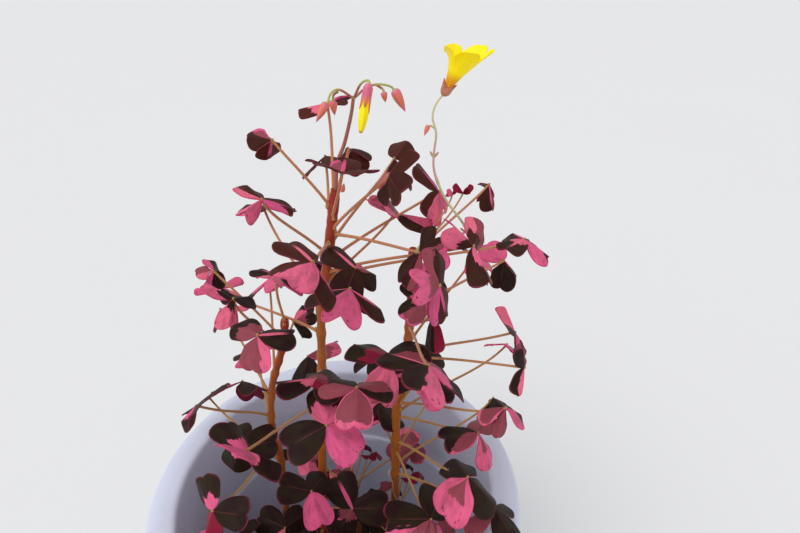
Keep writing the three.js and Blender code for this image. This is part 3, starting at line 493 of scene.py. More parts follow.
def soften(profile, reach, steps=4):
    """A profile with its corners rounded: each corner b becomes (1 - t)^2 b0 + 2 t (1 - t) b + t^2 b1.

    b0 and b1 lie on the lines beside it, reach away or 0.42 of the line if that is less."""
    profile = np.asarray(profile, float)
    before, corner, after = profile[:-2], profile[1:-1], profile[2:]
    back, ahead = before - corner, after - corner
    back_length = np.linalg.norm(back, axis=1, keepdims=True)
    ahead_length = np.linalg.norm(ahead, axis=1, keepdims=True)
    back = corner + back / back_length * np.minimum(reach, 0.42 * back_length)
    ahead = corner + ahead / ahead_length * np.minimum(reach, 0.42 * ahead_length)
    t = np.linspace(0, 1, steps + 1)[:, None, None]
    rounded = (1 - t) ** 2 * back + 2 * t * (1 - t) * corner + t**2 * ahead
    return np.vstack([profile[:1], rounded.transpose(1, 0, 2).reshape(-1, 2), profile[-1:]])


def node(tree, kind, inputs=None, **settings):
    """Adds a node beside the last one, sets its options, and sets or links its inputs by name or number."""
    made = tree.nodes.new(kind)
    made.location = (190 * (len(tree.nodes) % 9), -230 * (len(tree.nodes) // 9))
    for key, value in settings.items():
        setattr(made, key, value)
    for key, value in (inputs or {}).items():
        if isinstance(value, bpy.types.NodeSocket):
            tree.links.new(value, made.inputs[key])
        else:
            made.inputs[key].default_value = value
    return made


def calc(tree, operation, a, b=0.0):
    """A number worked out from two others."""
    return node(tree, "ShaderNodeMath", {0: a, 1: b}, operation=operation).outputs[0]


def ramp(tree, value, low, high, start=0.0, end=1.0):
    """A value taken from low..high to start..end, smoothly and no further."""
    inputs = {"Value": value, "From Min": low, "From Max": high, "To Min": start, "To Max": end}
    return node(tree, "ShaderNodeMapRange", inputs, interpolation_type="SMOOTHSTEP").outputs["Result"]


def mix(tree, factor, a, b):
    """A colour between two others."""
    ends = [value if isinstance(value, bpy.types.NodeSocket) else (*value[:3], 1) for value in (a, b)]
    return node(tree, "ShaderNodeMix", {0: factor, 6: ends[0], 7: ends[1]}, data_type="RGBA").outputs[2]


def noise(tree, place, scale, detail=2.0, rough=0.5):
    """A noise value from about 0 to 1."""
    inputs = {"Vector": place, "Scale": scale, "Detail": detail, "Roughness": rough}
    return node(tree, "ShaderNodeTexNoise", inputs).outputs[0]


def stretch(tree, place, factors):
    """A place multiplied by three factors."""
    return node(tree, "ShaderNodeVectorMath", {0: place, 1: factors}, operation="MULTIPLY").outputs[0]


def attribute(tree, name, output="Vector"):
    """One of the values kept at each point."""
    return node(tree, "ShaderNodeAttribute", attribute_name=name).outputs[output]


def group(name, inputs, outputs):
    """An empty node group with its sockets, and its input and output nodes."""
    tree = bpy.data.node_groups.new(name, "ShaderNodeTree")
    for key, kind in inputs:
        tree.interface.new_socket(key, in_out="INPUT", socket_type="NodeSocket" + kind)
    for key, kind in outputs:
        tree.interface.new_socket(key, in_out="OUTPUT", socket_type="NodeSocket" + kind)
    return tree, node(tree, "NodeGroupInput"), node(tree, "NodeGroupOutput")


def use(tree, name, **inputs):
    """Puts a node group into a tree and returns its node. The group is made the first time."""
    inside = bpy.data.node_groups.get(name) or GROUPS[name]()
    inputs = {key.capitalize(): value for key, value in inputs.items()}
    return node(tree, "ShaderNodeGroup", inputs, node_tree=inside)


def grain_group():
    """Grain: soft blotches and fine grain at a place, as one value about 1 and one height about 0."""
    inputs = [("Place", "Vector"), ("Scale", "Float"), ("Strength", "Float")]
    tree, start, end = group("Grain", inputs, [("Tone", "Float"), ("Height", "Float")])
    broad = noise(tree, start.outputs["Place"], start.outputs["Scale"], 3.0)
    fine = noise(tree, start.outputs["Place"], calc(tree, "MULTIPLY", start.outputs["Scale"], 9.0), 3.0, 0.6)
    both = calc(tree, "ADD", calc(tree, "MULTIPLY", broad, 0.6), calc(tree, "MULTIPLY", fine, 0.4))
    away = calc(tree, "MULTIPLY", calc(tree, "SUBTRACT", both, 0.5), start.outputs["Strength"])
    tree.links.new(calc(tree, "ADD", away, 1.0), end.inputs["Tone"])
    tree.links.new(calc(tree, "SUBTRACT", fine, 0.5), end.inputs["Height"])
    return tree


def streak_group():
    """Streaks: fine lines along a stalk or a petal, as one value about 1 and one height about 0."""
    inputs = [("Place", "Vector"), ("Strength", "Float")]
    tree, start, end = group("Streaks", inputs, [("Tone", "Float"), ("Height", "Float")])
    lines = noise(tree, stretch(tree, start.outputs["Place"], (3.2, 3.2, 0.12)), 1.0, 3.0, 0.6)
    spots = noise(tree, stretch(tree, start.outputs["Place"], (1.6, 1.6, 1.1)), 1.0, 2.0)
    both = calc(tree, "ADD", calc(tree, "MULTIPLY", lines, 0.65), calc(tree, "MULTIPLY", spots, 0.35))
    away = calc(tree, "MULTIPLY", calc(tree, "SUBTRACT", both, 0.5), start.outputs["Strength"])
    tree.links.new(calc(tree, "ADD", away, 1.0), end.inputs["Tone"])
    tree.links.new(calc(tree, "SUBTRACT", lines, 0.5), end.inputs["Height"])
    return tree


def zone_group():
    """Zone: where a leaflet's marking lies. Place is (across, along, seed) and Line is (a, b, c).

    The mask is 1 where min(a across + b along + c + jag, 1 - max(|across|, along) - margin + jag / 2) > 0,
    and jag is noise drawn out along the leaflet, so that the edge runs in teeth along its veins."""
    inputs = [("Place", "Vector"), ("Line", "Vector"), ("Margin", "Float"), ("Shift", "Float")]
    tree, start, end = group("Zone", inputs, [("Mask", "Float")])
    place = start.outputs["Place"]
    parts = node(tree, "ShaderNodeSeparateXYZ", {0: place}).outputs
    line = node(tree, "ShaderNodeSeparateXYZ", {0: start.outputs["Line"]}).outputs
    shifted = node(tree, "ShaderNodeCombineXYZ", {2: start.outputs["Shift"]}).outputs[0]
    moved = node(tree, "ShaderNodeVectorMath", {0: place, 1: shifted}, operation="ADD").outputs[0]
    broad = calc(tree, "SUBTRACT", noise(tree, stretch(tree, moved, (2.3, 1.5, 1.0)), 1.0, 2.0), 0.5)
    teeth = calc(tree, "SUBTRACT", noise(tree, stretch(tree, moved, (15.0, 3.4, 1.0)), 1.0, 2.0), 0.5)
    jag = calc(tree, "ADD", calc(tree, "MULTIPLY", broad, 0.62), calc(tree, "MULTIPLY", teeth, 0.2))
    crossed = calc(tree, "MULTIPLY", line[0], parts[0])
    crossed = calc(tree, "ADD", crossed, calc(tree, "MULTIPLY", line[1], parts[1]))
    crossed = calc(tree, "ADD", calc(tree, "ADD", crossed, line[2]), jag)
    edge = calc(tree, "MAXIMUM", calc(tree, "ABSOLUTE", parts[0]), parts[1])
    inside = calc(tree, "SUBTRACT", calc(tree, "SUBTRACT", 1.0, edge), start.outputs["Margin"])
    inside = calc(tree, "ADD", inside, calc(tree, "MULTIPLY", jag, 0.5))
    tree.links.new(ramp(tree, calc(tree, "MINIMUM", crossed, inside), -0.02, 0.02), end.inputs["Mask"])
    return tree


GROUPS = {"Grain": grain_group, "Streaks": streak_group, "Zone": zone_group}


def material(name, rough, specular=0.5):
    """A new material: its tree, and its surface with its even values set."""
    made = bpy.data.materials.new(name)
    made.use_nodes = True
    surface = made.node_tree.nodes["Principled BSDF"]
    surface.inputs["Roughness"].default_value = rough
    surface.inputs["Specular IOR Level"].default_value = specular
    return made, made.node_tree, surface


def bump(tree, surface, height, strength, distance):
    """Gives a surface its small relief, with distance in millimetres."""
    inputs = {"Height": height, "Strength": strength, "Distance": distance * MM}
    tree.links.new(node(tree, "ShaderNodeBump", inputs).outputs[0], surface.inputs["Normal"])


def toned(tree, colour_value, tone):
    """A colour times a value about 1."""
    return node(tree, "ShaderNodeVectorMath", {0: colour_value, "Scale": tone}, operation="SCALE").outputs[0]


def leaf_material(look):
    """Leaflets: dark, rose, crimson and pink areas, veins, flecks and the underside's own colours, with a
    russet painted backlight on the dark areas of the highest leaves.
    """
    made, tree, surface = material("leaf", 0.56, 0.14)
    place = attribute(tree, "leaf_map")
    parts = node(tree, "ShaderNodeSeparateXYZ", {0: place}).outputs
    limits = node(tree, "ShaderNodeSeparateXYZ", {0: attribute(tree, "limits")}).outputs
    tint = node(tree, "ShaderNodeSeparateXYZ", {0: attribute(tree, "tint")}).outputs
    under = attribute(tree, "under", "Fac")
    dark = use(tree, "Zone", place=place, line=attribute(tree, "dark_zone"), margin=limits[0], shift=0.0)
    warm = use(tree, "Zone", place=place, line=attribute(tree, "warm_zone"), margin=limits[1], shift=31.0)
    blotch = noise(tree, stretch(tree, place, (2.2, 2.2, 1.0)), 1.0, 3.0)
    side = calc(tree, "ABSOLUTE", parts[0])
    edge = calc(tree, "MAXIMUM", side, parts[1])
    fleck = noise(tree, stretch(tree, place, (9.0, 9.0, 3.0)), 1.0, 2.0)
    fleck = calc(tree, "MULTIPLY", ramp(tree, fleck, 0.64, 0.67), ramp(tree, edge, 0.72, 0.95))
    # Veins run out from the hub, so each keeps its place across; they fade towards the tip.
    wave = calc(tree, "FRACT", calc(tree, "ADD", calc(tree, "MULTIPLY", parts[0], VEINS), 0.5))
    wave = calc(tree, "ABSOLUTE", calc(tree, "SUBTRACT", wave, 0.5))
    vein = calc(tree, "MULTIPLY", ramp(tree, wave, 0.06, 0.0), ramp(tree, parts[1], 1.0, 0.3))
    width = calc(tree, "MULTIPLY", calc(tree, "ADD", limits[2], 0.25), 0.045)
    midrib = ramp(tree, calc(tree, "SUBTRACT", calc(tree, "MULTIPLY", side, parts[1]), width), 0.014, -0.014)
    midrib = calc(tree, "MULTIPLY", midrib, ramp(tree, parts[1], 0.95, 0.55))
    strong = calc(tree, "MULTIPLY", midrib, ramp(tree, limits[2], 0.0, 1.0, 0.12, 1.0))
    pink = mix(tree, tint[0], look.coral, look.magenta)
    warm_colour = mix(tree, tint[1], look.rose, look.crimson)
    deep = mix(tree, ramp(tree, blotch, 0.4, 0.62), look.olive, look.purple)
    # Painted backlight: the dark areas turn russet on the highest leaves, standing in for strong light
    # through them.
    deep = mix(tree, tint[2], deep, look.painted_backlight)
    dusk = ramp(tree, noise(tree, stretch(tree, place, (1.7, 1.3, 2.0)), 1.0, 4.0, 0.7), 0.48, 0.66, 0.0, 0.5)
    top = mix(tree, calc(tree, "MAXIMUM", dusk, calc(tree, "MULTIPLY", vein, 0.4)), pink, look.rose)
    top = mix(tree, warm.outputs[0], top, warm_colour)
    top = mix(tree, fleck, top, deep)
    top = mix(tree, dark.outputs[0], top, deep)
    top = mix(tree, strong, top, pink)
    hem = ramp(tree, edge, 0.955, 0.985)
    hem = calc(tree, "MULTIPLY", hem, ramp(tree, blotch, 0.35, 0.7, 0.1, 0.5))
    top = mix(tree, hem, top, look.hem)
    back = mix(tree, warm.outputs[0], look.under_pink, look.crimson)
    back = mix(tree, dark.outputs[0], back, look.under_dark)
    back = mix(tree, calc(tree, "MULTIPLY", vein, 0.3), back, look.under_pink)
    grain = use(tree, "Grain", place=place, scale=3.0, strength=0.75)
    result = toned(tree, mix(tree, under, top, back), grain.outputs["Tone"])
    tree.links.new(result, surface.inputs["Base Color"])
    height = calc(tree, "SUBTRACT", calc(tree, "MULTIPLY", grain.outputs["Height"], 0.5), vein)
    bump(tree, surface, height, 0.5, 0.12)
    return made


def skin_material():
    """Stems, petioles, stalks and buds: painted colour with fine streaks along them."""
    made, tree, surface = material("skin", 0.42, 0.4)
    streaks = use(tree, "Streaks", place=attribute(tree, "stem_map"), strength=0.9)
    result = toned(tree, attribute(tree, "paint", "Color"), streaks.outputs["Tone"])
    tree.links.new(result, surface.inputs["Base Color"])
    bump(tree, surface, streaks.outputs["Height"], 0.4, 0.12)
    return made


def petal_material():
    """Petals: painted colour, the finest streaks, and a faint even glow in their own colour, painted light
    that stands in for light coming through.
    """
    made, tree, surface = material("petal", 0.5, 0.25)
    # Painted light: the petals glow faintly in their own colour all over, standing in for light through them.
    surface.inputs["Emission Strength"].default_value = 0.16
    streaks = use(tree, "Streaks", place=attribute(tree, "stem_map"), strength=0.35)
    result = toned(tree, attribute(tree, "paint", "Color"), streaks.outputs["Tone"])
    tree.links.new(result, surface.inputs["Base Color"])
    tree.links.new(result, surface.inputs["Emission Color"])
    bump(tree, surface, streaks.outputs["Height"], 0.35, 0.15)
    return made


def plastic_material(look):
    """Pot: satin plastic with a faint mould texture, a little dust and some fine wear."""
    made, tree, surface = material("plastic", 0.34, 0.4)
    place = node(tree, "ShaderNodeTexCoord").outputs["Object"]
    grain = use(tree, "Grain", place=place, scale=60.0, strength=0.05)
    dust = ramp(tree, noise(tree, place, 26.0, 4.0, 0.65), 0.56, 0.8, 0.0, 0.35)
    result = toned(tree, mix(tree, dust, look.plastic, look.scuff), grain.outputs["Tone"])
    tree.links.new(result, surface.inputs["Base Color"])
    worn = calc(tree, "ADD", calc(tree, "MULTIPLY", dust, 0.5), 0.33)
    tree.links.new(worn, surface.inputs["Roughness"])
    bump(tree, surface, grain.outputs["Height"], 0.12, 0.2)
    return made


def soil_material(look):
    """Soil: damp and dry patches, light fibres and a rough relief."""
    made, tree, surface = material("soil", 0.92, 0.2)
    place = node(tree, "ShaderNodeTexCoord").outputs["Object"]
    grain = use(tree, "Grain", place=place, scale=150.0, strength=1.2)
    damp = ramp(tree, noise(tree, place, 45.0, 3.0), 0.4, 0.6)
    fibre = ramp(tree, noise(tree, stretch(tree, place, (900.0, 260.0, 500.0)), 1.0, 1.0), 0.68, 0.74)
    result = mix(tree, damp, look.soil_dark, look.soil)
    result = mix(tree, fibre, result, look.scuff)
    tree.links.new(toned(tree, result, grain.outputs["Tone"]), surface.inputs["Base Color"])
    bump(tree, surface, grain.outputs["Height"], 0.8, 0.8)
    return made


def floor_material(look):
    """Floor: a plain pale surface with the faintest unevenness."""
    made, tree, surface = material("floor", 0.85, 0.1)
    place = node(tree, "ShaderNodeTexCoord").outputs["Object"]
    grain = use(tree, "Grain", place=place, scale=4.0, strength=0.02)
    result = toned(tree, look.floor, grain.outputs["Tone"])
    tree.links.new(result, surface.inputs["Base Color"])
    return made


def shared(name, maker, *settings):
    """A material by name, made the first time it is asked for."""
    return bpy.data.materials.get(name) or maker(*settings)


def stem_path(growth):
    """The middle line of a growth's stem, a point about every 1.2 mm."""
    return curve(growth["axis"], 1.2)


def at_height(path, height):
    """The point of a stem at a height."""
    return np.array([np.interp(height, path[:, 2], path[:, k]) for k in range(3)])


def petiole(path, row):
    """A petiole's middle line from the stem to the hub, and 0.5 mm on along the way the leaf faces.

    It is (1 - t)^3 a + 3 t (1 - t)^2 b + 3 t^2 (1 - t) c + t^3 d, with a in the stem, d at the hub, b raised
    a little above the straight line, and c behind the leaf."""
    root = at_height(path, row[0])
    hub = np.array(row[1:4], float)
    normal = leaf_normal(row)
    reach = np.linalg.norm(hub - root)
    knee = root + (hub - root) * 0.36 + np.array([0, 0, 0.05 * reach])
    neck = hub + (root - hub) * 0.2 - normal * 0.2 * max(0.0, float((hub - root) @ normal))
    t = np.linspace(0, 1, 17)[:, None]
    line = (1 - t) ** 3 * root + 3 * t * (1 - t) ** 2 * knee + 3 * t**2 * (1 - t) * neck + t**3 * hub
    return np.vstack([line, hub + normal * 0.5])


def young_rows(name, growth):
    """Rows of the young leaves low on a growth, drawn at random, in the order of the rows of GROWTHS."""
    chance = np.random.default_rng(len(name))
    path = stem_path(growth)
    rows = list(YOUNG_TOP) if name == "stem_right" else []
    for _ in range(YOUNG_LOW.get(name, 0)):
        height = chance.uniform(58, 96)
        way, reach = chance.uniform(0, 2 * math.pi), chance.uniform(9, 20)
        hub = at_height(path, height) + np.array([math.cos(way), math.sin(way), 0]) * reach
        hub[:2] *= min(1.0, 43 / np.hypot(*hub[:2]))
        rise = chance.uniform(8, 22)
        droops, folds = chance.uniform(-20, 45, 3), chance.uniform(15, 40, 3)
        code = " ".join(chance.choice(["anr0", "nar0", "nnr0", "nac0", "Tar0"], 3))
        rows.append((height, hub[0], hub[1], hub[2] + rise, math.degrees(way), chance.uniform(5, 50),
                     chance.uniform(0, 120), tuple(droops), tuple(folds), chance.uniform(3.5, 6.5), code))
    return rows


def leaf_normal(row):
    """The way a leaf faces: (sin b cos a, sin b sin a, cos b), where a is the way it leans and b how far."""
    a, b = np.radians(row[4]), np.radians(row[5])
    return np.array([np.sin(b) * np.cos(a), np.sin(b) * np.sin(a), np.cos(b)])


def leaflet_axes(row, number):
    """Along, side and up of a leaflet. A leaf's three are 120 degrees apart and droop from its plane."""
    a, b = np.radians(row[4]), np.radians(row[5])
    normal = leaf_normal(row)
    downhill = np.array([np.cos(b) * np.cos(a), np.cos(b) * np.sin(a), -np.sin(b)])
    across = np.cross(normal, downhill)
    turn, droop = np.radians(row[6] + 120 * number), np.radians(row[7][number])
    side = across * np.cos(turn) - downhill * np.sin(turn)
    along = (downhill * np.cos(turn) + across * np.sin(turn)) * np.cos(droop) - normal * np.sin(droop)
    return along, side, np.cross(along, side)


def add_leaflet(shape, row, number, look, seed):
    """Adds one leaflet, a thin sheet over c across from -1 to 1 and s along from 0 to 1.

    r = s (0.94 + 0.5 |c| - 0.6 c^2 - 0.1 c^6), at c (70 - 32 s) degrees from the midrib, gives y = r cos
    along and x = r sin across. x shrinks where a side would pass k (1 + 0.42 s) y and meet the next leaflet,
    with k worked out from the fold f and the droop. The halves and the tip hang by
    h = |x| sin f + 0.1 x^2 + 0.1 y^2 and a small ripple, so p = hub + L (y along + x cos f side - h up).
    Each leaflet differs a little by chance."""
    chance = np.random.default_rng(seed)
    rows, columns = 14, 19
    s, c = np.meshgrid(np.linspace(0.035, 1, rows), np.linspace(-1, 1, columns), indexing="ij")
    lobes = 0.94 + chance.uniform(-0.03, 0.02) + 0.5 * np.abs(c) - 0.6 * c**2 - 0.1 * c**6
    lobes = lobes + chance.uniform(-0.035, 0.035) * c + 0.012 * np.sin(6 * c + chance.uniform(0, 6.3))
    angle = np.radians(70 - 32 * s) * c
    forward = s * lobes * np.cos(angle)
    aside = s * lobes * np.sin(angle)
    fold, droop = math.radians(row[8][number]), math.radians(row[7][number])
    room = 0.9 * math.sqrt(3) * math.cos(droop)
    room /= max(0.2, math.cos(fold) + math.sqrt(3) * math.sin(fold) * math.sin(droop))
    aside = aside * np.minimum(1, room * (1 + 0.42 * s[:, -1:]) * forward[:, -1:] / aside[:, -1:])
    soft = 0.035
    hang = np.sin(fold) * (np.sqrt(aside**2 + soft**2) - soft) + 0.1 * forward**2
    hang = hang + 0.10 * aside**2 - 0.03 * s**3 * np.sin(5 * angle * 2 + chance.uniform(0, 6.3))
    hang = hang + chance.uniform(-0.05, 0.05) * aside * forward
    along, side, up = leaflet_axes(row, number)
    size = row[9]
    middle = np.array(row[1:4], float) + size * (
        forward[..., None] * along + (aside * np.cos(fold))[..., None] * side - hang[..., None] * up
    )
    half = up * look.thickness / MM / 2
    points = np.concatenate([(middle - half).reshape(-1, 3), (middle + half).reshape(-1, 3)])
    code = row[10].split()[number]
    place = np.stack([c, s, np.full_like(c, seed * 0.37 % 97)], -1).reshape(-1, 3)
    # Painted backlight: the higher the hub above 226 mm, the more russet the dark areas get, standing in for
    # strong light through them.
    painted_backlight = np.clip((row[3] - 226) / 22, 0, 1) * chance.uniform(0.35, 0.95)
    tint = (chance.uniform(0, 1), float(code[2] == "c"), painted_backlight)
    shape.add(
        points, sheet_faces(rows, columns), leaf_map=np.concatenate([place, place]),
        dark_zone=np.array([ZONES[code[0]][:3]]), warm_zone=np.array([ZONES[code[1]][:3]]),
        limits=np.array([[ZONES[code[0]][3], ZONES[code[1]][3], float(code[3])]]), tint=np.array([tint]),
        under=np.repeat([[1.0], [0.0]], rows * columns, axis=0),
    )


def soil_wave(x, y):
    """Low waves of the soil's top: 0.9 sin(0.21 x + 1) cos(0.17 y - 0.6)."""
    return 0.9 * np.sin(0.21 * x + 1) * np.cos(0.17 * y - 0.6)


class OXALIS_OT_pot(bpy.types.Operator):
    """Builds the pot: its profile turned about the axis, and a floor with drain holes."""

    bl_idname = "oxalis.pot"
    bl_label = "Pot"

    def execute(self, context):
        look = context.scene.oxalis_pot
        sector, lines = 24, 12
        sides = sector * DRAIN_HOLES
        profile = soften(POT_PROFILE, look.fillet / MM)
        angle = np.arange(sides) * 2 * np.pi / sides
        around = np.stack([np.cos(angle), np.sin(angle), np.zeros(sides)], -1)
        wall = profile[:, None, :1] * around + profile[:, None, 1:] * np.array([0, 0, 1])
        points = [wall.reshape(-1, 3)]
        faces = [grid_faces(len(profile), sides, True)]
        # A sixth of the floor: its outline, from the middle out, round and back, and the hole facing it.
        half = np.pi / DRAIN_HOLES
        out = np.linspace(0, 1, lines, endpoint=False)
        for number in range(DRAIN_HOLES):
            turn = number * 2 * half
            hole = DRAIN_RING * np.array([np.cos(turn), np.sin(turn)])
            arc = np.linspace(-half, half, sector + 1) + turn
            rings = []
            for reach, height in ((profile[0, 0], 0.0), (profile[-1, 0], FLOOR_TOP)):
                low = reach * out[:, None] * np.array([[np.cos(turn - half), np.sin(turn - half)]])
                high = reach * (1 - out[:, None]) * np.array([[np.cos(turn + half), np.sin(turn + half)]])
                bow = reach * np.stack([np.cos(arc[:-1]), np.sin(arc[:-1])], -1)
                outline = np.vstack([low, bow, high])
                inner = hole + DRAIN_RADIUS * unit(outline - hole)
                for share in (0.0, 0.5, 1.0):
                    level = outline + (inner - outline) * share
                    rings.append(np.column_stack([level, np.full(len(level), height)]))
            rings = [*rings[:3], *rings[:2:-1]]
            start = sum(len(part) for part in points)
            points.append(np.concatenate(rings))
            faces.append(grid_faces(6, len(rings[0]), True)[:, ::-1] + start)
        shape = Shape()
        shape.add(np.concatenate(points), np.concatenate(faces))
        shape.make("pot_shell", ["pot"], shared("plastic", plastic_material, look), 30)
        return {"FINISHED"}


class OXALIS_OT_soil(bpy.types.Operator):
    """Builds the soil: its profile turned, with low waves and finer ones over its top, and crumbs."""

    bl_idname = "oxalis.soil"
    bl_label = "Soil"

    def execute(self, context):
        look = context.scene.oxalis_pot
        chance = np.random.default_rng(5)
        profile = soften(SOIL_PROFILE, 1.5)
        top = np.linspace(profile[-6], profile[-1], 2)
        profile = np.vstack([profile[:-6], top])
        fine = [profile[:-1] + (profile[1:] - profile[:-1]) * t for t in (0, 0.25, 0.5, 0.75)]
        profile = np.vstack([np.stack(fine, 1).reshape(-1, 2), profile[-1:]])
        sides = 96
        angle = np.arange(sides) * 2 * np.pi / sides
        x = profile[:, :1] * np.cos(angle)
        y = profile[:, :1] * np.sin(angle)
        share = np.clip((profile[:, 1:] - 38) / 3, 0, 1) * np.clip(profile[:, :1] / 3, 0, 1)
        rough = 0.35 * np.sin(1.3 * x + 2 * np.sin(0.9 * y)) * np.sin(1.1 * y + 1.7 * np.sin(0.7 * x))
        z = profile[:, 1:] + share * (soil_wave(x, y) + rough)
        shape = Shape()
        shape.add(np.stack([x, y, z], -1).reshape(-1, 3), grid_faces(len(profile), sides, True))
        # Crumbs: r (1 + 0.25 sin(3 u + a) sin(2 v + b)) on a small globe, half sunk in the top.
        v, u = np.meshgrid(np.linspace(-np.pi / 2, np.pi / 2, 5), np.arange(6) * np.pi / 3, indexing="ij")
        globe = np.stack([np.cos(v) * np.cos(u), np.cos(v) * np.sin(u), np.sin(v)], -1).reshape(-1, 3)
        for _ in range(420):
            reach = 46 * math.sqrt(chance.uniform(0, 1))
            way = chance.uniform(0, 2 * math.pi)
            x, y = reach * math.cos(way), reach * math.sin(way)
            size = look.crumb / MM * chance.uniform(0.4, 1.5) / 2
            lump = 1 + 0.25 * np.sin(3 * u + chance.uniform(0, 6.3)) * np.sin(2 * v + chance.uniform(0, 6.3))
            at = np.array([x, y, 42.5 + soil_wave(x, y) + 0.3 * size])
            crumb = globe * (np.cos(v) * lump + (1 - np.cos(v))).reshape(-1, 1) * size * (1, 1, 0.7)
            shape.add(crumb + at, grid_faces(5, 6, True))
        shape.make("soil_fill", ["soil"], shared("soil", soil_material, look), 60)
        return {"FINISHED"}


class OXALIS_OT_stems(bpy.types.Operator):
    """Builds the stems with their petioles, and a small bud above each petiole.

    A stem's radius is r(z) + swelling exp(-((z - joint) / 1.6)^2), so it swells at each joint."""

    bl_idname = "oxalis.stems"
    bl_label = "Stems and petioles"

    def execute(self, context):
        look = context.scene.oxalis_stem
        for name, growth in GROWTHS.items():
            shape = Shape()
            path = stem_path(growth)
            share = np.linspace(0, 1, len(path))
            plain = growth["radius"][0] + (growth["radius"][1] - growth["radius"][0]) * share
            joints = np.array([row[0] for row in growth["leaves"]])
            swell = np.exp(-(((path[:, 2:] - joints) / 1.6) ** 2)).max(1)
            radii = plain + look.swelling / MM * swell
            height = growth["axis"][-1][2]
            low = min((AMBER_TOP - FOOT) / (height - FOOT), 0.8)
            stops = [(0, look.red), (0.25, look.red), (0.42, look.amber), (low, look.amber), (0.97, look.red)]
            add_tube(shape, path, radii, 16, stops)
            for row in growth["leaves"] + young_rows(name, growth):
                line = petiole(path, row)
                t = np.linspace(0, 1, len(line))
                thin = look.petiole_radius / MM * min(1.0, 0.45 + 0.06 * row[9])
                radii = thin * (1.1 - 0.2 * t + 0.8 * np.exp(-t / 0.05) + 0.25 * np.exp(-(1 - t) / 0.03))
                radii[-1] = thin * 0.8
                high = float(np.clip((row[0] - 150) / 60, 0, 1))
                skin = np.array(look.petiole) * (1 - high) + np.array(look.petiole_top) * high
                stops = [(0, look.amber), (0.08, skin), (0.9, skin), (0.97, look.joint)]
                add_tube(shape, line, radii, 8, stops)
                # A small bud in the angle above each petiole.
                out = unit((line[3] - line[0]) * (1, 1, 0) + 1e-6)
                wide = float(np.interp(row[0], path[:, 2], plain))
                steps = np.linspace(0, 1, 6)[:, None]
                bud = line[0] + out * (wide + 0.1 + 0.5 * steps) + np.array([0, 0, 1]) * (0.5 + 1.5 * steps)
                add_tube(shape, bud, SMALL_BUD_RADII, 8, [(0, look.amber), (0.5, look.joint)])
            shape.make(name + "_skin", [name], shared("skin", skin_material))
        return {"FINISHED"}


class OXALIS_OT_leaves(bpy.types.Operator):
    """Builds the leaflets, three to a leaf, with the values that place their markings."""

    bl_idname = "oxalis.leaves"
    bl_label = "Leaves"

    def execute(self, context):
        look = context.scene.oxalis_leaf
        seed = 11
        for name, growth in GROWTHS.items():
            shape = Shape()
            for row in growth["leaves"] + young_rows(name, growth):
                for number in range(3):
                    seed += 7
                    add_leaflet(shape, row, number, look, seed)
            shape.make(name + "_leaves", [name], shared("leaf", leaf_material, look), 50)
        return {"FINISHED"}


def add_bud(shape, top, tip, radius, look):
    """Adds a bud: r = R t^0.3 (1 - t)^0.95 / 0.502, with five ribs where its sepals meet."""
    top, tip = np.array(top, float), np.array(tip, float)
    share = np.linspace(0, 1, 18)
    path = top + (tip - top) * share[:, None]
    radii = radius * np.maximum(share, 0.004) ** 0.3 * np.maximum(1 - share, 0.01) ** 0.95 / 0.502
    points, faces, place, along = tube(path, radii, 20, ribs=5, depth=0.06, twist=0.6)
    stops = [(0, look.green), (0.06, look.bud_edge), (0.25, look.bud), (0.6, look.bud), (0.85, look.bud_edge)]
    base = blend(stops, along)
    angle = np.arctan2(place[:, 1], place[:, 0])
    seam = np.clip(np.cos(5 * angle + 0.6 * along) * 1.6 - 0.5, 0, 1)[:, None]
    edge = np.array([*look.bud_edge, 1])
    shape.add(points, faces, paint=base * (1 - seam) + edge * seam, stem_map=place)


def add_blade(shape, base, direction, outward, size, width, curl, stops, thick=0.22):
    """Adds a small pointed blade, a sepal or a bract.

    Over t along and c across, with w = width sqrt(sin(pi (0.12 + 0.88 t))), it is
    p = base + size t direction + c w side + (curl t^2 - 0.5 w c^2) outward."""
    direction, outward = unit(direction), np.asarray(outward, float)
    outward = unit(outward - direction * (outward @ direction))
    side = np.cross(direction, outward)
    t, c = np.meshgrid(np.linspace(0, 1, 10), np.linspace(-1, 1, 7), indexing="ij")
    half = width * np.sqrt(np.maximum(np.sin(np.pi * (0.12 + 0.88 * t)), 0.004))
    middle = np.asarray(base, float) + direction * size * t[..., None] + side * (c * half)[..., None]
    middle = middle + outward * (curl * t**2 - 0.5 * half * c**2)[..., None]
    half = outward * thick / 2
    points = np.concatenate([(middle + half).reshape(-1, 3), (middle - half).reshape(-1, 3)])
    place = np.stack([c, np.zeros_like(c), t * size], -1).reshape(-1, 3)
    share = np.concatenate([t.ravel(), t.ravel()])
    shape.add(points, sheet_faces(10, 7), paint=blend(stops, share), stem_map=np.concatenate([place, place]))


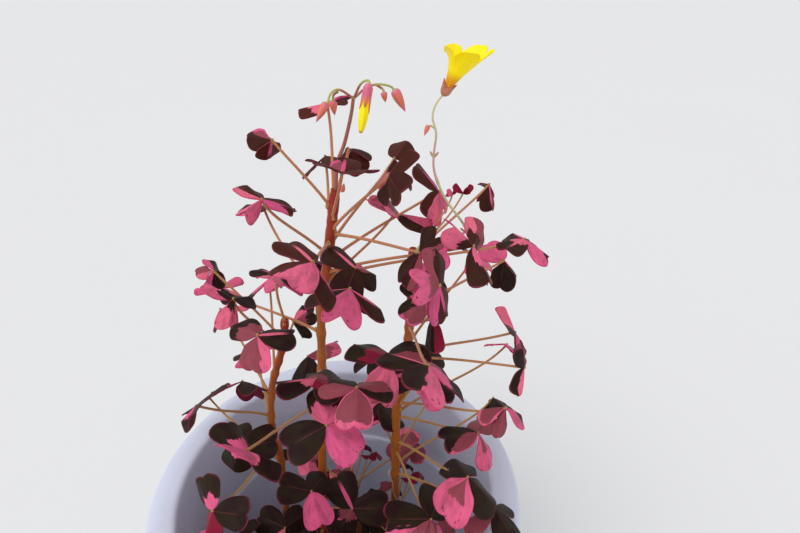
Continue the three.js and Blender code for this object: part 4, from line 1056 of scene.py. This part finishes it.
class OXALIS_OT_stalks(bpy.types.Operator):
    """Builds the flowering stalks with their buds and bracts."""

    bl_idname = "oxalis.stalks"
    bl_label = "Stalks and buds"

    def execute(self, context):
        look = context.scene.oxalis_flower
        shape = Shape()
        path = curve(MIDDLE_STALK, 0.6)
        stops = [(0, look.stalk_pink), (1, look.stalk_pink)]
        add_tube(shape, path, np.linspace(0.56, 0.42, len(path)), 12, stops)
        for points in BUD_STALKS:
            path = curve(points, 0.35)
            stops = [(0, look.green), (0.1, look.stalk_pink), (0.4, look.stalk_pink), (0.6, look.green)]
            add_tube(shape, path, np.linspace(0.32, 0.27, len(path)), 10, stops)
        for top, tip, radius in BUDS:
            add_bud(shape, top, tip, radius, look)
        add_tube(shape, curve(SCAR, 0.4), 0.45, 10, [(0, look.shade), (0.6, look.yellow), (1, look.green)])
        add_bud(shape, *SIDE_BUD, look)
        shape.make("middle_stalk", ["stem_middle"], shared("skin", skin_material))
        shape = Shape()
        path = curve(FLOWER_STALK, 0.6)
        share = np.linspace(0, 1, len(path))
        knots = 0.28 * np.exp(-(((share - 0.27) / 0.02) ** 2))
        knots = knots + 0.14 * np.exp(-(((share - 0.62) / 0.02) ** 2))
        radii = 0.4 - 0.16 * share + knots
        stops = [
            (0, look.stalk), (0.24, look.stalk), (0.27, look.green), (0.31, look.stalk), (0.6, look.stalk),
            (0.64, look.pale), (0.78, look.pale), (0.84, look.stalk), (1, look.stalk),
        ]
        add_tube(shape, path, radii, 12, stops)
        path = curve(SMALL_BUD_STALK, 0.3)
        add_tube(shape, path, 0.22, 8, [(0, look.stalk), (1, look.green)])
        add_bud(shape, *SMALL_BUD, look)
        for root, tip in BRACTS:
            way = np.array(tip) - np.array(root)
            stops = [(0, look.green), (1, look.pale)]
            add_blade(shape, root, way, (0, -1, 0.3), float(np.linalg.norm(way)), 0.3, 0.3, stops)
        path = curve(AERIAL_ROOT, 0.6)
        stops = [(0, look.green), (0.1, look.pale), (1, look.stalk)]
        add_tube(shape, path, np.linspace(0.22, 0.1, len(path)), 8, stops)
        shape.make("flower_stalk", ["stem_right"], shared("skin", skin_material))
        return {"FINISHED"}


class OXALIS_OT_open_flower(bpy.types.Operator):
    """Builds the open flower: a funnel of five lobes over share t and angle a, in a cup with five sepals.

    With petal = |cos(2.5 (a + 0.3))|, the radius is (1 + 3.7 t^1.5) (1 + 0.1 t petal) and the rise is
    t (1 - 0.2 t^3 (1 - petal)^2) (1 + 0.22 t^2 cos a) H, with small curls and ripples near the edge."""

    bl_idname = "oxalis.open_flower"
    bl_label = "Open flower"

    def execute(self, context):
        look = context.scene.oxalis_flower
        direction = unit(OPEN_DIRECTION)
        side = unit(np.cross((0, 1, 0), direction))
        other = np.cross(direction, side)
        base = np.array(OPEN_BASE)
        foot = base + direction * FUNNEL_START
        height = OPEN_LENGTH - FUNNEL_START
        rows, columns = 26, 100
        t, a = np.meshgrid(np.linspace(0, 1, rows), np.arange(columns) * 2 * np.pi / columns, indexing="ij")
        lobe = np.abs(np.cos(2.5 * (a + 0.3)))
        rise = t * (1 - 0.2 * t**3 * (1 - lobe) ** 2) * (1 + 0.22 * t**2 * np.cos(a)) * height
        reach = (1 + 3.7 * t**1.5) * (1 + 0.1 * t * lobe) + 0.9 * np.clip(t - 0.8, 0, 1) * lobe
        rise = rise + 0.25 * t**3 * np.sin(a * 2 + 1) - 0.5 * np.clip(t - 0.86, 0, 1) * lobe
        reach = reach + 0.16 * t**2 * np.cos(15 * a) * lobe
        ring = np.cos(a)[..., None] * side + np.sin(a)[..., None] * other
        outer = foot + direction * rise[..., None] + ring * reach[..., None]
        inner = foot + direction * (rise + 0.02)[..., None] + ring * (reach - look.petal / MM)[..., None]
        points = np.concatenate([outer, inner[::-1]]).reshape(-1, 3)
        faces = grid_faces(rows * 2, columns, True)
        closing = grid_faces(2, columns, True)
        closing = np.where(closing < columns, closing + (2 * rows - 1) * columns, closing - columns)
        share = np.concatenate([t, t[::-1]]).ravel()
        around = np.concatenate([a, a[::-1]]).ravel()
        stops = [(0, look.streak), (0.08, look.shade), (0.22, look.shade), (0.42, look.yellow)]
        paint = blend(stops, share)
        line = 0.75 * np.clip(np.cos(around * 25 + 2 * np.sin(share * 5)) * 0.9 - 0.1, 0, 1)[:, None]
        line = line * np.clip(1 - share / 0.42, 0, 1)[:, None]
        paint = paint * (1 - line) + np.array([*look.streak, 1]) * line
        shape = Shape()
        place = np.stack([np.cos(around) * 3, np.sin(around) * 3, share * height], -1)
        shape.add(points, np.concatenate([faces, closing]), paint=paint, stem_map=place)
        # Style and stamens: five short threads that stand inside the tube.
        for number in range(5):
            turn = number * 2 * math.pi / 5 + 0.4
            lean = math.cos(turn) * side + math.sin(turn) * other
            steps = np.linspace(0, 1, 8)[:, None]
            path = foot + direction * (0.4 + 4.2 * steps) + lean * (0.3 + 0.5 * steps)
            stops = [(0, look.yellow), (0.8, look.green), (1, look.shade)]
            add_tube(shape, path, [0.12] * 6 + [0.26, 0.2], 6, stops)
        shape.make("open_petals", ["open_flower"], shared("petal", petal_material))
        shape = Shape()
        profile = soften(CUP_PROFILE, 0.35, 3)
        angle = np.arange(40) * 2 * np.pi / 40
        ring = np.cos(angle)[:, None] * side + np.sin(angle)[:, None] * other
        reach = profile[:, None, 1:] * (1 + 0.04 * np.cos(5 * angle))[:, None]
        points = base + profile[:, :1, None] * direction + reach * ring
        share = np.broadcast_to(np.linspace(0, 1, len(profile))[:, None], (len(profile), 40)).ravel()
        place = np.stack(np.broadcast_arrays(np.cos(angle), np.sin(angle), profile[:, :1]), -1).reshape(-1, 3)
        paint = blend([(0, look.green), (0.3, look.sepal)], share)
        shape.add(points.reshape(-1, 3), grid_faces(len(profile), 40, True), paint=paint, stem_map=place)
        for number in range(5):
            turn = number * 2 * math.pi / 5 + 0.2
            outward = math.cos(turn) * side + math.sin(turn) * other
            curl = 0.9 if number % 2 else 0.3
            root = base + direction * 0.7 + outward * 1.2
            stops = [(0.6, look.sepal), (1, look.streak)]
            add_blade(shape, root, direction + outward * 0.1, outward, 2.5, 0.42, curl, stops)
        shape.make("open_cup", ["open_flower"], shared("skin", skin_material))
        return {"FINISHED"}


class OXALIS_OT_closed_flower(bpy.types.Operator):
    """Builds the closed flower: a corolla rolled in five twisted folds, and five long sepals over its top."""

    bl_idname = "oxalis.closed_flower"
    bl_label = "Closed flower"

    def execute(self, context):
        look = context.scene.oxalis_flower
        direction = unit(CLOSED_DIRECTION)
        top = np.array(CLOSED_TOP)
        far = np.array([1.6, 2.4, 3.6, 5, 6.6, 8.2, 9.4, 10.4, 10.9, CLOSED_LENGTH])
        radii = np.array([0.6, 0.9, 1.02, 1.08, 1.08, 1.0, 0.84, 0.62, 0.46, 0.25])
        fine = np.linspace(far[0], far[-1], 34)
        shape = Shape()
        points, faces, place, share = tube(
            top + direction * fine[:, None], np.interp(fine, far, radii), 40, ribs=5, depth=0.09, twist=3.0
        )
        stops = [(0.2, look.shade), (0.42, look.yellow), (0.93, look.yellow), (0.985, look.streak)]
        shape.add(points, faces, paint=blend(stops, share), stem_map=place)
        shape.make("closed_petals", ["closed_flower"], shared("petal", petal_material))
        shape = Shape()
        dome = np.array([-0.3, 0, 0.4, 1.0, 1.8, 2.6])
        width = np.array([0.3, 0.5, 0.85, 1.06, 1.1, 0.9])
        fine = np.linspace(-0.3, 2.6, 14)
        stops = [(0, look.green), (0.2, look.bud_edge)]
        add_tube(shape, top + direction * fine[:, None], np.interp(fine, dome, width), 24, stops)
        side = unit(np.cross((0, 1, 0), direction))
        other = np.cross(direction, side)
        for number in range(5):
            turn = number * 2 * math.pi / 5 + 0.95
            outward = math.cos(turn) * side + math.sin(turn) * other
            root = top + direction * 0.9 + outward * 1.05
            stops = [(0.35, look.bud_edge), (0.7, look.bud), (1, look.streak)]
            add_blade(shape, root, direction, outward, 4.4 + number % 3 * 0.6, 0.5, 0.12, stops, 0.24)
        shape.make("closed_calyx", ["closed_flower"], shared("skin", skin_material))
        return {"FINISHED"}


class OXALIS_OT_details(bpy.types.Operator):
    """Builds the hairs: thin spikes p = root + hair t, square to the skin, three sides each."""

    bl_idname = "oxalis.details"
    bl_label = "Hairs"

    def execute(self, context):
        look = context.scene.oxalis_stem
        chance = np.random.default_rng(3)
        shape = Shape()
        roots, ways, tones = [], [], []
        for growth in GROWTHS.values():
            path = stem_path(growth)
            lines = [(path[20:], 1.4, 260)]
            lines += [(petiole(path, row), look.petiole_radius / MM, 46) for row in growth["leaves"]]
            for line, radius, count in lines:
                at = chance.uniform(0.03, 0.97, count) * (len(line) - 1)
                middle = np.stack([np.interp(at, np.arange(len(line)), line[:, k]) for k in range(3)], -1)
                forward = unit(np.gradient(line, axis=0))[at.astype(int)]
                way = chance.normal(size=(count, 3))
                way = unit(way - forward * (way * forward).sum(1, keepdims=True))
                roots.append(middle + way * radius * 0.8)
                ways.append(unit(way + forward * 0.35))
        roots, ways = np.concatenate(roots), np.concatenate(ways)
        size = look.hair / MM * chance.uniform(0.5, 1.3, len(roots))[:, None]
        side = unit(np.cross(ways, (0.3, 0.5, 0.81)))
        other = np.cross(ways, side)
        width = 0.028
        corners = [roots + width * (np.cos(a) * side + np.sin(a) * other) for a in (0, 2.094, 4.189)]
        points = np.stack([*corners, roots + ways * (size + 0.2)], 1)
        first = np.arange(len(roots))[:, None] * 4
        sides = np.array([[0, 1, 3], [1, 2, 3], [2, 0, 3], [2, 1, 0]])
        shape.points.append(points.reshape(-1, 3))
        shape.quads.append(np.zeros((0, 4), int))
        shape.triangles.append((first[:, None] + sides).reshape(-1, 3))
        pale = np.tile([[*look.petiole_top, 1.0]], (len(roots) * 4, 1))
        place = np.tile(points[:, :1], (1, 4, 1)).reshape(-1, 3)
        shape.values = {"paint": [pale * 0.5 + 0.4], "stem_map": [place]}
        shape.make("hairs", list(GROWTHS), shared("skin", skin_material))
        return {"FINISHED"}


class OXALIS_OT_stage(bpy.types.Operator):
    """Sets the floor, the light and the camera, which looks along the photograph's own line."""

    bl_idname = "oxalis.stage"
    bl_label = "Stage"

    def execute(self, context):
        look = context.scene.oxalis_stage
        mesh = bpy.data.meshes.new("floor")
        low, high = -FLOOR_REACH, FLOOR_REACH
        corners = [(low, low), (high, low), (high, high), (low, high)]
        mesh.from_pydata([(x, y, FLOOR_LEVEL) for x, y in corners], [], [(0, 1, 2, 3)])
        mesh.materials.append(shared("floor", floor_material, look))
        floor = bpy.data.objects.new("floor", mesh)
        lamp = bpy.data.lights.new("lamp", "SUN")
        lamp.energy = look.lamp
        lamp.angle = math.radians(LAMP_WIDTH)
        lamp = bpy.data.objects.new("lamp", lamp)
        lamp.rotation_euler = (math.radians(LAMP_TILT[0]), math.radians(LAMP_TILT[1]), 0)
        camera = bpy.data.cameras.new("camera")
        camera.lens = look.focal * 1000
        camera.sensor_width = 36
        camera.clip_start = 0.01
        camera = bpy.data.objects.new("camera", camera)
        camera.location = CAMERA_PLACE
        camera.rotation_euler = (math.radians(CAMERA_TILT), 0, 0)
        for made in (floor, lamp, camera):
            context.scene.collection.objects.link(made)
        context.scene.camera = camera
        world = bpy.data.worlds.new("sky")
        world.use_nodes = True
        sky = world.node_tree.nodes["Background"].inputs
        sky["Color"].default_value = SKY_COLOUR
        sky["Strength"].default_value = look.sky
        context.scene.world = world
        context.scene.view_settings.view_transform = "Standard"
        return {"FINISHED"}


class OXALIS_PT_panel(bpy.types.Panel):
    """Lists the steps in the sidebar."""

    bl_idname = "OXALIS_PT_panel"
    bl_label = "Potted Oxalis"
    bl_space_type = "VIEW_3D"
    bl_region_type = "UI"
    bl_category = "Oxalis"

    def draw(self, context):
        for step in STEPS:
            self.layout.operator(step.bl_idname)
        for key in GROUPS_OF_SETTINGS:
            settings = getattr(context.scene, key)
            for name in settings.bl_rna.properties.keys():
                if name not in ("rna_type", "name"):
                    self.layout.prop(settings, name)


STEPS = (
    OXALIS_OT_pot, OXALIS_OT_soil, OXALIS_OT_stems, OXALIS_OT_leaves, OXALIS_OT_stalks, OXALIS_OT_open_flower,
    OXALIS_OT_closed_flower, OXALIS_OT_details, OXALIS_OT_stage,
)
GROUPS_OF_SETTINGS = {
    "oxalis_pot": OXALIS_PG_pot, "oxalis_stem": OXALIS_PG_stem, "oxalis_leaf": OXALIS_PG_leaf,
    "oxalis_flower": OXALIS_PG_flower, "oxalis_stage": OXALIS_PG_stage,
}


def register():
    """Registers every class, and hangs the settings on the scene."""
    for made in (*GROUPS_OF_SETTINGS.values(), *STEPS, OXALIS_PT_panel):
        bpy.utils.register_class(made)
    for key, made in GROUPS_OF_SETTINGS.items():
        setattr(bpy.types.Scene, key, bpy.props.PointerProperty(type=made))


def unregister():
    """Takes away what register added."""
    for key in GROUPS_OF_SETTINGS:
        delattr(bpy.types.Scene, key)
    for made in (OXALIS_PT_panel, *reversed(STEPS), *GROUPS_OF_SETTINGS.values()):
        bpy.utils.unregister_class(made)


def main():
    register()
    bpy.ops.oxalis.pot()
    bpy.ops.oxalis.soil()
    bpy.ops.oxalis.stems()
    bpy.ops.oxalis.leaves()
    bpy.ops.oxalis.stalks()
    bpy.ops.oxalis.open_flower()
    bpy.ops.oxalis.closed_flower()
    bpy.ops.oxalis.details()
    bpy.ops.oxalis.stage()


if __name__ == "__main__":
    main()
